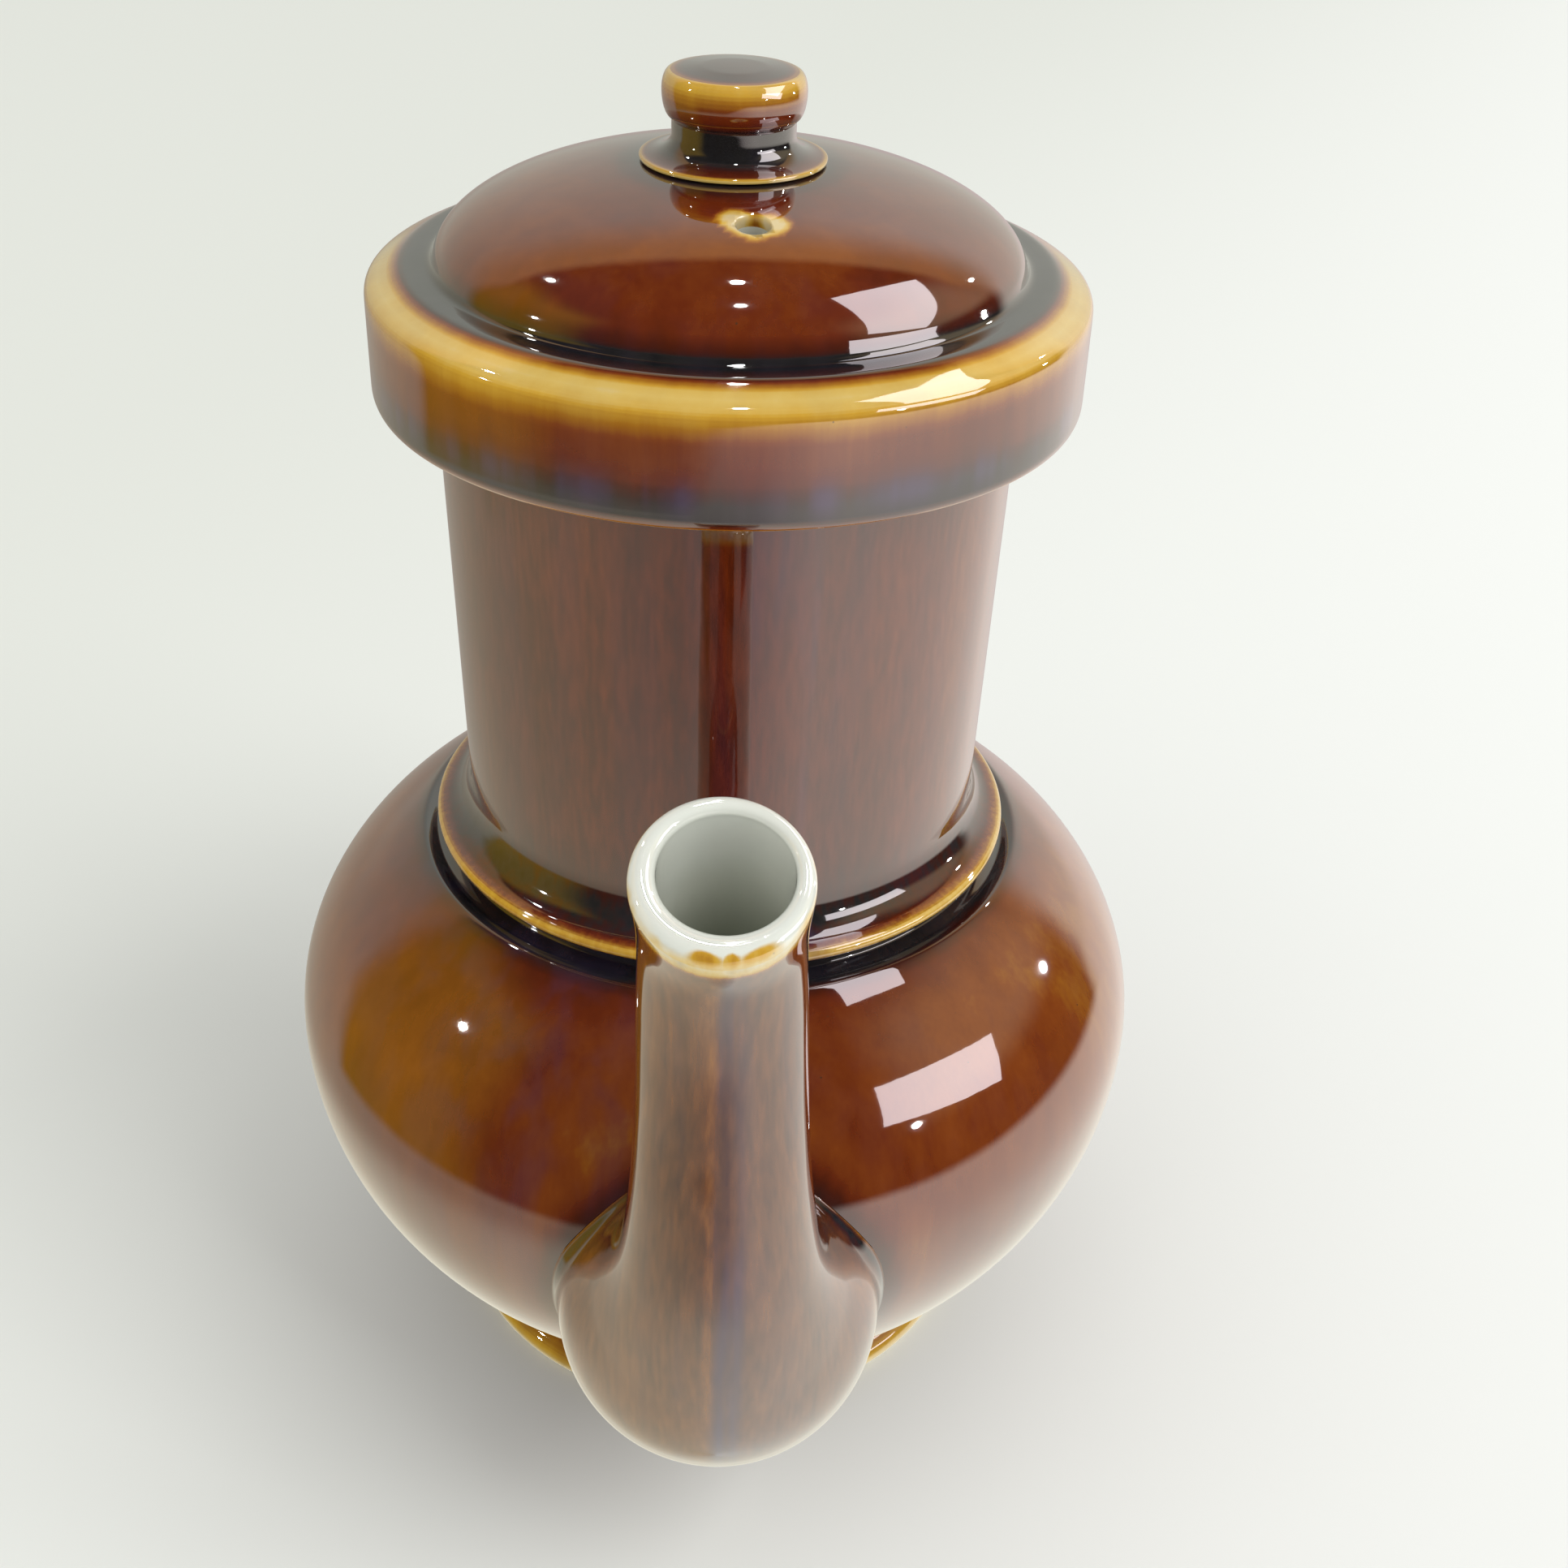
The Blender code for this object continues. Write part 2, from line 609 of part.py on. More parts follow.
def build_lid(material):
    """Cap lid: dome, ledge, falling crest with a rounded edge, and skirt."""
    crest = (SKIRT_RADIUS - CREST_ROUND, LEDGE_TOP - CREST_FALL)
    slope = 90 - math.degrees(CREST_SLOPE)
    bend = (DOME_RADIUS + LEDGE_ROUND, LEDGE_TOP + LEDGE_ROUND)
    hollow = DOME_RADIUS - DOME_WALL
    outline = arc((0, LEDGE_TOP), (DOME_RADIUS, DOME_HEIGHT), 90, 4, DOME_STEPS)
    outline += arc(bend, (LEDGE_ROUND, LEDGE_ROUND), 200, 270, 2)
    outline += [(SKIRT_RADIUS - CREST_WIDTH, LEDGE_TOP)]
    outline += arc(crest, (CREST_ROUND, CREST_ROUND), slope, 0, 3)
    outline += [(SKIRT_RADIUS, SKIRT_FOOT + SKIRT_EASE)]
    outline += [(SKIRT_RADIUS - SKIRT_TUCK, SKIRT_FOOT), (SKIRT_BORE, SKIRT_FOOT)]
    outline += [(SKIRT_BORE, LID_SEAT), (hollow + LEDGE_ROUND, LID_SEAT)]
    outline += arc((0, LEDGE_TOP), (hollow, DOME_HEIGHT - DOME_WALL), 0, 90, DOME_STEPS)
    lid = turned("lid_shell", outline, material)

    slope = Vector((0, -VENT_PLACE / DOME_RADIUS**2, vent_rise() / DOME_HEIGHT**2))
    lean = Vector((0, 0, 1)).rotation_difference(slope.normalized()).to_matrix().to_4x4()
    turn = Matrix.Rotation(VENT_TURN, 4, "Z")
    place = turn @ Vector((0, -VENT_PLACE, LEDGE_TOP + vent_rise()))
    length = 2 * DOME_WALL + 2 * OVERRUN
    cut(lid, pins("vent_guide", [place], VENT_RADIUS, length, material, turn @ lean))
    return lid


def vent_rise():
    """Height of the dome above its foot at the vent hole."""
    return dome_height_at(VENT_PLACE) - LEDGE_TOP


def build_lid_knob(material):
    """Waisted knob whose foot spreads into a disc that fits the dome."""
    spread = KNOB_DISC_RADIUS - KNOB_NECK_RADIUS
    head_foot = DISC_TOP + KNOB_HEIGHT * KNOB_HEAD_FOOT_SHARE
    widest = DISC_TOP + KNOB_HEIGHT * KNOB_WIDEST_SHARE
    top = DISC_TOP + KNOB_HEIGHT
    under = [
        (KNOB_DISC_RADIUS * share, dome_height_at(KNOB_DISC_RADIUS * share) + GAP)
        for share in KNOB_UNDERSIDE_SHARES
    ]
    sweep = KNOB_HEIGHT * KNOB_SWEEP_SHARE
    belly = KNOB_HEAD_RADIUS - KNOB_NECK_RADIUS
    shoulder = (KNOB_TOP_RADIUS, widest)
    outline = under
    outline += arc((KNOB_DISC_RADIUS, DISC_TOP + sweep), (spread, sweep), 270, 180)
    outline += [(KNOB_NECK_RADIUS, head_foot)]
    outline += arc((KNOB_NECK_RADIUS, widest), (belly, widest - head_foot), -70, 0, 4)
    cap = KNOB_HEAD_RADIUS - KNOB_TOP_RADIUS
    outline += arc(shoulder, (cap, top - KNOB_CROWN - widest), 0, 90, 4)[1:]
    outline += arc((0, top - KNOB_CROWN), (KNOB_TOP_RADIUS, KNOB_CROWN), 60, 90, 2)
    return turned("lid_knob", outline, material, KNOB_STEPS)


def main():
    """Build every piece of the coffee pot."""
    clear_scene()
    brown = glaze("brown_glaze", (0.17, 0.05, 0.025), 0.12)
    chestnut = glaze("chestnut_glaze", (0.24, 0.08, 0.035), 0.12)
    amber = glaze("amber_glaze", (0.45, 0.20, 0.05), 0.12)
    white = glaze("white_glaze", (0.80, 0.80, 0.74), 0.15)
    build_pot_body(brown)
    build_spout(chestnut)
    build_handle(chestnut)
    build_chamber(brown)
    build_sieve(white)
    build_spreader(white)
    build_spreader_knob(white)
    build_lid(brown)
    build_lid_knob(amber)


main()
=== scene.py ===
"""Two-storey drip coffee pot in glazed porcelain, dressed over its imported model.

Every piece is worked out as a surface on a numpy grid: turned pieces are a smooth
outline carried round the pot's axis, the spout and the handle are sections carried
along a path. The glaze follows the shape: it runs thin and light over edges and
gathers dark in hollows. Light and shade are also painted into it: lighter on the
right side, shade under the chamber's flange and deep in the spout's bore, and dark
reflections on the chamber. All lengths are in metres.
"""

import logging
import math
from dataclasses import dataclass
from enum import Enum

import bpy
import numpy as np
from mathutils import Matrix, Vector

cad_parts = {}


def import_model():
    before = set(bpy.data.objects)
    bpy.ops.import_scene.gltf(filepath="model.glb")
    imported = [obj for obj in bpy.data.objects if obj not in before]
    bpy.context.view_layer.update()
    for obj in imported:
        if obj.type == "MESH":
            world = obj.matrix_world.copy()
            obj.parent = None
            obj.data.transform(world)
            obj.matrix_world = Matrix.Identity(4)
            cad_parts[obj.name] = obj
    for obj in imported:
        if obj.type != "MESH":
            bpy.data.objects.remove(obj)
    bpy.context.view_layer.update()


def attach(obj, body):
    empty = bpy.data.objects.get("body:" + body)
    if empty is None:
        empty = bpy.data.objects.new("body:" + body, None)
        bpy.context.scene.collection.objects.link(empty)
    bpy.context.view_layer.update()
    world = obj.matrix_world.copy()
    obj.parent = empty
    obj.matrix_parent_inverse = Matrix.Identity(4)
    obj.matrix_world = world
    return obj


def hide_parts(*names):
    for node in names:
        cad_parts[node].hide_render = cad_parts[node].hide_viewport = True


log = logging.getLogger("coffee_pot")

GAP = 0.0003
TURNS = 180
FINE_STEP = 0.0001
HOLE_FLARE = 0.55
HOLE_STEPS = 12
HOLE_TURNS = 32
CHUNK = 2000
WHITE_DEPTH = 0.2
SMALL_LEVEL = 0.001

Array = np.ndarray


class Body(Enum):
    """The moving bodies of the pot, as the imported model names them."""

    POT = "pot"
    FILTER = "filter"
    SPREADER = "spreader"
    LID = "lid"


class Slot(Enum):
    """The record's material slots."""

    BROWN = "brown_glaze"
    SPOUT = "spout_glaze"
    WHITE = "white_glaze"
    KNOB = "knob_glaze"


# Outlines and grids


def arc(centre: tuple, radii: tuple, first: float, last: float, steps: int = 24) -> Array:
    """Elliptical arc: centre + radii * (cos a, sin a) for evenly stepped angles a.

    Args:
        centre: radius and height of the middle of the arc.
        radii: half widths of the ellipse across and up.
        first: first angle in degrees.
        last: last angle in degrees.
        steps: number of steps.

    Returns:
        Rows of (radius, height).
    """
    angles = np.radians(np.linspace(first, last, steps + 1))
    return np.column_stack(
        (centre[0] + radii[0] * np.cos(angles), centre[1] + radii[1] * np.sin(angles))
    )


def joined(*runs: Array | tuple) -> Array:
    """Put runs of (radius, height) rows one after the other."""
    return np.vstack([np.atleast_2d(run) for run in runs])


def evenly(points: Array, step: float) -> Array:
    """Points at an even spacing along a polyline, its two ends included."""
    along = np.concatenate(([0], np.cumsum(np.linalg.norm(np.diff(points, axis=0), axis=1))))
    places = np.linspace(0, along[-1], max(int(along[-1] / step), 2) + 1)
    return np.column_stack([np.interp(places, along, column) for column in points.T])


@dataclass(frozen=True)
class Rounding:
    """How an outline is rounded and stepped.

    Args:
        blur: width of the Gaussian along the outline.
        spacing: widest spacing on a straight run.
        bend: widest bend in radians between two points.
    """

    blur: float
    spacing: float
    bend: float


def softened(points: Array, loop: bool, rounding: Rounding) -> Array:
    """Round the corners of an outline as a glaze does and space its points by need.

    The outline is stepped evenly and convolved with a Gaussian of its blur. An outline
    from axis to axis is first closed with its mirror image, so that it meets the axis
    squarely. Then the points are spread so that the integral of
    1 / spacing + curvature / bend is the same between each two of them.

    Args:
        points: corners and arcs as (radius, height).
        loop: True for a ring-shaped wall, False for an outline from axis to axis.
        rounding: blur, spacing and bend.

    Returns:
        Rows of (radius, height).
    """
    if loop:
        whole = evenly(np.vstack((points, points[:1])), FINE_STEP)[:-1]
    else:
        half = evenly(points, FINE_STEP)
        whole = np.vstack((half, (half * (-1, 1))[-2:0:-1]))
    curve = whole[:, 0] + 1j * whole[:, 1]
    waves = np.fft.fftfreq(len(curve), FINE_STEP)
    curve = np.fft.ifft(np.fft.fft(curve) * np.exp(-2 * (math.pi * waves * rounding.blur) ** 2))
    if loop:
        curve = np.append(curve, curve[0])
    else:
        curve = curve[: len(half)]
    heading = np.unwrap(np.angle(np.diff(curve)))
    length = np.abs(np.diff(curve))
    bends = np.abs(np.gradient(heading))
    need = length / rounding.spacing + bends / rounding.bend
    total = np.concatenate(([0], np.cumsum(need)))
    places = np.linspace(0, total[-1], int(total[-1]) + 2)
    made = np.column_stack([np.interp(places, total, part) for part in (curve.real, curve.imag)])
    if loop:
        return made[:-1]
    made[[0, -1], 0] = 0
    return made


def grid_faces(rows: int, columns: int, wrap_rows: bool) -> Array:
    """Quads of a grid whose columns close on themselves.

    Args:
        rows: number of rows of vertices.
        columns: number of vertices in a row.
        wrap_rows: True if the last row is joined to the first.

    Returns:
        Vertex numbers, four to a row.
    """
    row = np.arange(rows if wrap_rows else rows - 1)[:, None]
    column = np.arange(columns)[None, :]
    above = (row + 1) % rows
    after = (column + 1) % columns
    corners = (
        row * columns + column,
        row * columns + after,
        above * columns + after,
        above * columns + column,
    )
    return np.stack(corners, axis=-1).reshape(-1, 4)


def fan_faces(ring: Array, tip: int) -> Array:
    """Triangles from each edge of a ring of vertex numbers to one tip."""
    return np.column_stack((ring, np.roll(ring, -1), np.full(len(ring), tip)))


def spun(outline: Array, loop: bool, turns: int = TURNS) -> tuple[Array, Array, Array]:
    """Carry an outline round the Z axis: (r cos a, r sin a, z) for each turn angle a.

    Args:
        outline: rows of (radius, height), from axis to axis unless it is a loop.
        loop: True for a ring-shaped wall.
        turns: number of steps round the axis.

    Returns:
        Vertices, quads and triangles.
    """
    angles = np.arange(turns) * math.tau / turns
    rim = outline if loop else outline[1:-1]
    grid = np.stack(
        (
            rim[:, :1] * np.cos(angles),
            rim[:, :1] * np.sin(angles),
            np.repeat(rim[:, 1:], turns, axis=1),
        ),
        axis=-1,
    ).reshape(-1, 3)
    quads = grid_faces(len(rim), turns, loop)
    if loop:
        return grid, quads, np.empty((0, 3), int)
    poles = np.column_stack((outline[[0, -1], 0], outline[[0, -1], 0], outline[[0, -1], 1]))
    first = np.arange(turns)
    last = first + (len(rim) - 1) * turns
    tips = np.vstack((fan_faces(first[::-1], len(grid)), fan_faces(last, len(grid) + 1)))
    return np.vstack((grid, poles)), quads, tips


def make_mesh(name: str, vertices: Array, quads: Array, triangles: Array) -> bpy.types.Mesh:
    """Fill a mesh from arrays, with its faces turned outwards.

    The signed volume is the sum of a . (b x c) / 6 over all triangles; where it comes
    out negative, each face is read backwards.

    Args:
        name: name of the mesh.
        vertices: rows of (x, y, z).
        quads: rows of four vertex numbers.
        triangles: rows of three vertex numbers.

    Returns:
        A smooth-shaded mesh.
    """
    split = np.vstack((quads[:, [0, 1, 2]], quads[:, [0, 2, 3]], triangles))
    if np.linalg.det(vertices[split]).sum() < 0:
        quads = quads[:, ::-1]
        triangles = triangles[:, ::-1]
    corners = np.concatenate((quads.ravel(), triangles.ravel())).astype(np.int32)
    counts = np.concatenate((np.full(len(quads), 4), np.full(len(triangles), 3)))
    starts = np.concatenate(([0], np.cumsum(counts)[:-1])).astype(np.int32)
    mesh = bpy.data.meshes.new(name)
    mesh.vertices.add(len(vertices))
    mesh.vertices.foreach_set("co", vertices.astype(np.float32).ravel())
    mesh.loops.add(len(corners))
    mesh.loops.foreach_set("vertex_index", corners)
    mesh.polygons.add(len(counts))
    mesh.polygons.foreach_set("loop_start", starts)
    mesh.update(calc_edges=True)
    mesh.validate()
    mesh.shade_smooth()
    return mesh


def link(name: str, mesh: bpy.types.Mesh) -> bpy.types.Object:
    """Put a mesh into the scene as an object at the origin."""
    made = bpy.data.objects.new(name, mesh)
    bpy.context.scene.collection.objects.link(made)
    return made


def places_of(mesh: bpy.types.Mesh) -> Array:
    """The vertices of a mesh as rows of (x, y, z)."""
    found = np.empty(len(mesh.vertices) * 3, np.float32)
    mesh.vertices.foreach_get("co", found)
    return found.reshape(-1, 3).astype(float)


def paint(mesh: bpy.types.Mesh, name: str, values: Array) -> None:
    """Store one number per vertex, for the glaze to read."""
    layer = mesh.attributes.new(name, "FLOAT", "POINT")
    layer.data.foreach_set("value", np.clip(values, 0, 1).astype(np.float32))


def pierced(piece: bpy.types.Object, cutter: bpy.types.Object) -> None:
    """Take the cutter out of the piece for good, then drop the cutter."""
    difference = piece.modifiers.new("holes", "BOOLEAN")
    difference.operation = "DIFFERENCE"
    difference.solver = "EXACT"
    difference.object = cutter
    bpy.context.view_layer.update()
    graph = bpy.context.evaluated_depsgraph_get()
    mesh = bpy.data.meshes.new_from_object(piece.evaluated_get(graph))
    piece.modifiers.clear()
    old = piece.data
    mesh.name = old.name
    piece.data = mesh
    bpy.data.meshes.remove(old)
    bpy.data.objects.remove(cutter)


def hole_rings(pitch: float, first: int, last: int) -> Array:
    """Places (x, y) on rings of radius pitch * k, with 6 k places on ring k."""
    rings = [np.zeros((0 if first else 1, 2))]
    for ring in range(max(first, 1), last + 1):
        angles = np.arange(6 * ring) * math.tau / (6 * ring)
        rings.append(pitch * ring * np.column_stack((np.cos(angles), np.sin(angles))))
    return np.vstack(rings)


def hole_cutter(places: Array, radius: float, reach: float, lean: Matrix) -> bpy.types.Object:
    """One object with a waisted pin at each place, so that each hole has soft edges.

    Along the pin the radius is radius * (1 + HOLE_FLARE * (distance / reach)^8).

    Args:
        places: middles of the holes.
        radius: radius of a hole at its waist.
        reach: half the length of a pin.
        lean: turn that takes the Z axis to the pins' axis.

    Returns:
        The cutter, which pierced() removes.
    """
    up = np.linspace(-1, 1, HOLE_STEPS + 1)
    wide = radius * (1 + HOLE_FLARE * up**8)
    outline = joined((0, -reach), np.column_stack((wide, up * reach)), (0, reach))
    vertices, quads, triangles = spun(outline, False, HOLE_TURNS)
    vertices = vertices @ np.array(lean.to_3x3()).T
    count = len(vertices)
    shift = (np.arange(len(places)) * count)[:, None, None]
    mesh = make_mesh(
        "hole_cutter",
        (places[:, None, :] + vertices[None]).reshape(-1, 3),
        (quads[None] + shift).reshape(-1, 4),
        (triangles[None] + shift).reshape(-1, 3),
    )
    return link("hole_cutter", mesh)


def chunks(points: Array) -> list[Array]:
    """Points in parts that are small enough to compare with a whole outline."""
    return np.array_split(points, len(points) // CHUNK + 1)


def bell(values: Array, middle: float, width: float) -> Array:
    """Bell curve exp(-((value - middle) / width)^2)."""
    return np.exp(-(((values - middle) / width) ** 2))


def nearest_along(outline: Array, points: Array) -> Array:
    """Arc length along a fine outline of the point nearest to each (radius, height)."""
    along = np.concatenate(([0], np.cumsum(np.linalg.norm(np.diff(outline, axis=0), axis=1))))
    nearest = [
        np.argmin(((part[:, None, :] - outline[None]) ** 2).sum(axis=2), axis=1)
        for part in chunks(points)
    ]
    return along[np.concatenate(nearest)]


def glaze_at(outline: Array, loop: bool, stops: tuple, vertices: Array) -> tuple[Array, Array]:
    """Depth and whiteness of the glaze at each vertex of a turned piece.

    Each stop names a place of the outline, and the values run evenly along the outline
    from one stop to the next.

    Args:
        outline: the piece's outline as (radius, height).
        loop: True if the outline closes on itself.
        stops: rows of (radius, height, depth, whiteness).
        vertices: rows of (x, y, z).

    Returns:
        Depth from 0, bare edge, to 1, deep pool, and whiteness from 0 to 1.
    """
    closed = np.vstack((outline, outline[:1])) if loop else outline
    fine = evenly(closed, 5 * FINE_STEP)
    table = np.array(stops)
    places = nearest_along(fine, table[:, :2])
    order = np.argsort(places)
    whole = np.linalg.norm(np.diff(fine, axis=0), axis=1).sum() if loop else None
    radii = np.hypot(vertices[:, 0], vertices[:, 1])
    at = nearest_along(fine, np.column_stack((radii, vertices[:, 2])))
    depth = np.interp(at, places[order], table[order, 2], period=whole)
    white = np.interp(at, places[order], table[order, 3], period=whole)
    return depth, white


# Finishes


@dataclass(frozen=True)
class Pattern:
    """Noise on a piece's own coordinates, stretched by scale per metre along each axis."""

    scale: tuple
    detail: float
    warp: float = 0.0


class Wiring:
    """Adds shader nodes to a node tree and joins them up."""

    def __init__(self, tree: bpy.types.NodeTree, coordinates: str = "Object") -> None:
        """Start on a tree, with the coordinates that its patterns are read from."""
        self.tree = tree
        self.place = self.add("ShaderNodeTexCoord").outputs[coordinates]

    def add(self, kind: str, **settings: object) -> bpy.types.Node:
        """Add a node of a kind with its settings."""
        node = self.tree.nodes.new(kind)
        for key, value in settings.items():
            setattr(node, key, value)
        return node

    def feed(self, socket: bpy.types.NodeSocket, value: object) -> None:
        """Link a socket to another, or write a plain value into it."""
        if isinstance(value, bpy.types.NodeSocket):
            self.tree.links.new(value, socket)
        else:
            socket.default_value = value

    def parts(self) -> tuple:
        """The x, y and z of the coordinates."""
        node = self.add("ShaderNodeSeparateXYZ")
        self.feed(node.inputs[0], self.place)
        return tuple(node.outputs)

    def maths(self, operation: str, *values: object) -> bpy.types.NodeSocket:
        """One Math node, fed with sockets or plain numbers."""
        node = self.add("ShaderNodeMath", operation=operation)
        for socket, value in zip(node.inputs, values):
            self.feed(socket, value)
        return node.outputs[0]

    def attribute(self, name: str) -> bpy.types.NodeSocket:
        """A number that the mesh stores per vertex."""
        node = self.add("ShaderNodeAttribute", attribute_name=name)
        return node.outputs["Fac"]

    def noise(self, pattern: Pattern) -> bpy.types.NodeSocket:
        """Noise from 0 to 1 after a pattern."""
        mapping = self.add("ShaderNodeMapping")
        self.feed(mapping.inputs["Vector"], self.place)
        mapping.inputs["Scale"].default_value = pattern.scale
        node = self.add("ShaderNodeTexNoise")
        self.feed(node.inputs["Vector"], mapping.outputs["Vector"])
        node.inputs["Scale"].default_value = 1.0
        node.inputs["Detail"].default_value = pattern.detail
        node.inputs["Distortion"].default_value = pattern.warp
        return node.outputs[0]

    def span(self, value: object, low: float, high: float, to: tuple) -> bpy.types.NodeSocket:
        """Smooth step of a value from low and high to the two numbers of to."""
        node = self.add("ShaderNodeMapRange", interpolation_type="SMOOTHSTEP")
        for key, number in zip(
            ("Value", "From Min", "From Max", "To Min", "To Max"), (value, low, high, *to)
        ):
            self.feed(node.inputs[key], number)
        return node.outputs["Result"]

    def mix(self, share: object, first: object, second: object) -> bpy.types.NodeSocket:
        """Mix two colours by a share."""
        node = self.add("ShaderNodeMix", data_type="RGBA")
        self.feed(node.inputs["Factor"], share)
        for key, colour in (("A", first), ("B", second)):
            socket = [s for s in node.inputs if s.name == key and s.type == "RGBA"][0]
            self.feed(socket, (*colour, 1.0) if isinstance(colour, tuple) else colour)
        return [s for s in node.outputs if s.type == "RGBA"][0]

    def ramp(self, value: object, stops: tuple) -> bpy.types.NodeSocket:
        """Colours at set places of a value, evenly mixed between."""
        node = self.add("ShaderNodeValToRGB")
        elements = node.color_ramp.elements
        for place, _ in stops[1:-1]:
            elements.new(place)
        for element, (_, colour) in zip(elements, stops):
            element.color = (*colour, 1.0)
        self.feed(node.inputs["Fac"], value)
        return node.outputs["Color"]

    def bump(self, height: object, depth: float, under: object = None) -> bpy.types.NodeSocket:
        """Bump of a real depth in metres, on top of another bump if there is one."""
        node = self.add("ShaderNodeBump")
        node.inputs["Strength"].default_value = 1.0
        node.inputs["Distance"].default_value = depth
        self.feed(node.inputs["Height"], height)
        if under is not None:
            self.feed(node.inputs["Normal"], under)
        return node.outputs["Normal"]


class MaterialWiring(Wiring):
    """Wiring of a new material with one Principled shader."""

    def __init__(self, name: str) -> None:
        """Start a material under a name."""
        self.material = bpy.data.materials.new(name)
        self.material.use_nodes = True
        super().__init__(self.material.node_tree)
        self.shader = self.tree.nodes["Principled BSDF"]

    def finish(self, values: dict[str, object]) -> bpy.types.Material:
        """Feed the shader's sockets by their names and hand over the material."""
        for key, value in values.items():
            self.feed(self.shader.inputs[key], value)
        return self.material


@dataclass(frozen=True)
class Glaze:
    """Glossy glaze whose colour runs from a bare edge through amber to a dark pool.

    The colour is read from the mesh's depth, shifted by clouds, runs and grain. A blue
    bloom floats in it where the mesh asks for it, and the white inside meets it at a
    wavering line; on the white the same attribute paints shade, darkening it towards
    deep_white. Each range is a smooth step: low, high and the values at the two.
    """

    name: str
    colours: tuple
    white: tuple = (0.84, 0.865, 0.785)
    cream: tuple = (0.80, 0.79, 0.70)
    # Painted shade: the white darkens to this colour deep in the spout's bore.
    deep_white: tuple = (0.27, 0.30, 0.19)
    bloom_and_reflection_colour: tuple = (0.062, 0.042, 0.105)
    speck_colour: tuple = (0.05, 0.03, 0.015)
    clouds: float = 0.26
    runs: float = 0.14
    grain: float = 0.06
    cloud_pattern: Pattern = Pattern((34, 34, 26), 3, 0.6)
    run_pattern: Pattern = Pattern((230, 230, 26), 3, 0.3)
    grain_pattern: Pattern = Pattern((1000, 1000, 170), 3)
    pattern_range: tuple = (0.05, 0.50, (0.35, 1.0))
    film_pattern: Pattern = Pattern((150, 150, 12), 2, 0.4)
    film_range: tuple = (0.38, 0.68, (0, 1))
    speck_scale: float = 330
    speck_range: tuple = (0.03, 0.075, (0.75, 0))
    rare_pattern: Pattern = Pattern((120, 120, 120), 2)
    rare_range: tuple = (0.56, 0.62, (0, 1))
    edge_pattern: Pattern = Pattern((260, 260, 260), 3)
    edge_wander: float = 0.5
    white_range: tuple = (0.32, 0.70, (0, 1))
    cream_pattern: Pattern = Pattern((60, 60, 60), 2)
    cream_range: tuple = (0.35, 0.7, (0, 0.35))
    roughness: float = 0.045
    satin_pattern: Pattern = Pattern((90, 90, 90), 3)
    satin_range: tuple = (0.3, 0.7, (0.8, 1.5))
    swell_pattern: Pattern = Pattern((95, 95, 60), 1)
    swell_depth: float = 0.00005
    ripple_pattern: Pattern = Pattern((420, 420, 420), 1)
    ripple_depth: float = 0.000004
    ior: float = 1.6
    coat_ior: float = 2.0
    coat_roughness: float = 0.015

    def pooled(self, wiring: Wiring) -> bpy.types.NodeSocket:
        """Colour at the mesh's depth, shifted by clouds, runs and grain."""
        patterns = (
            (wiring.noise(self.cloud_pattern), self.clouds),
            (wiring.noise(self.run_pattern), self.runs),
            (wiring.noise(self.grain_pattern), self.grain),
        )
        depth = wiring.attribute("depth")
        room = wiring.span(depth, *self.pattern_range)
        for pattern, amount in patterns:
            shifted = wiring.maths("MULTIPLY_ADD", pattern, amount, -amount / 2)
            depth = wiring.maths("MULTIPLY_ADD", shifted, room, depth)
        return wiring.ramp(depth, self.colours)

    def bloomed(self, wiring: Wiring, colour: object) -> bpy.types.NodeSocket:
        """The colour under a film of blue bloom, which on the chamber's front also paints a dark
        reflection stripe.
        """
        film = wiring.span(wiring.noise(self.film_pattern), *self.film_range)
        film = wiring.maths("MULTIPLY", film, wiring.attribute("bloom_and_painted_light"))
        return wiring.mix(film, colour, self.bloom_and_reflection_colour)

    def specked(self, wiring: Wiring, colour: object) -> bpy.types.NodeSocket:
        """The colour with a few dark specks of iron."""
        cells = wiring.add("ShaderNodeTexVoronoi")
        wiring.feed(cells.inputs["Vector"], wiring.place)
        cells.inputs["Scale"].default_value = self.speck_scale
        speck = wiring.span(cells.outputs["Distance"], *self.speck_range)
        rare = wiring.span(wiring.noise(self.rare_pattern), *self.rare_range)
        return wiring.mix(wiring.maths("MULTIPLY", speck, rare), colour, self.speck_colour)

    def whitened(self, wiring: Wiring, colour: object) -> bpy.types.NodeSocket:
        """The colour where the mesh is brown, and white glaze where it is white, darkened by
        painted shade where the mesh asks for it.
        """
        edge = wiring.noise(self.edge_pattern)
        edge = wiring.maths("MULTIPLY_ADD", edge, self.edge_wander, -self.edge_wander / 2)
        white = wiring.maths("ADD", wiring.attribute("white"), edge)
        white = wiring.span(white, *self.white_range)
        cream = wiring.span(wiring.noise(self.cream_pattern), *self.cream_range)
        pale = wiring.mix(cream, self.white, self.cream)
        # Painted shade: the white darkens towards the shaded white by the mesh's bloom, most
        # deeply in the spout's bore.
        pale = wiring.mix(wiring.attribute("bloom_and_painted_light"), pale, self.deep_white)
        return wiring.mix(white, colour, pale)

    def surface(self, wiring: Wiring) -> bpy.types.NodeSocket:
        """Slow swell of the thrown wall, with a faint ripple on top."""
        swell = wiring.bump(wiring.noise(self.swell_pattern), self.swell_depth)
        return wiring.bump(wiring.noise(self.ripple_pattern), self.ripple_depth, swell)

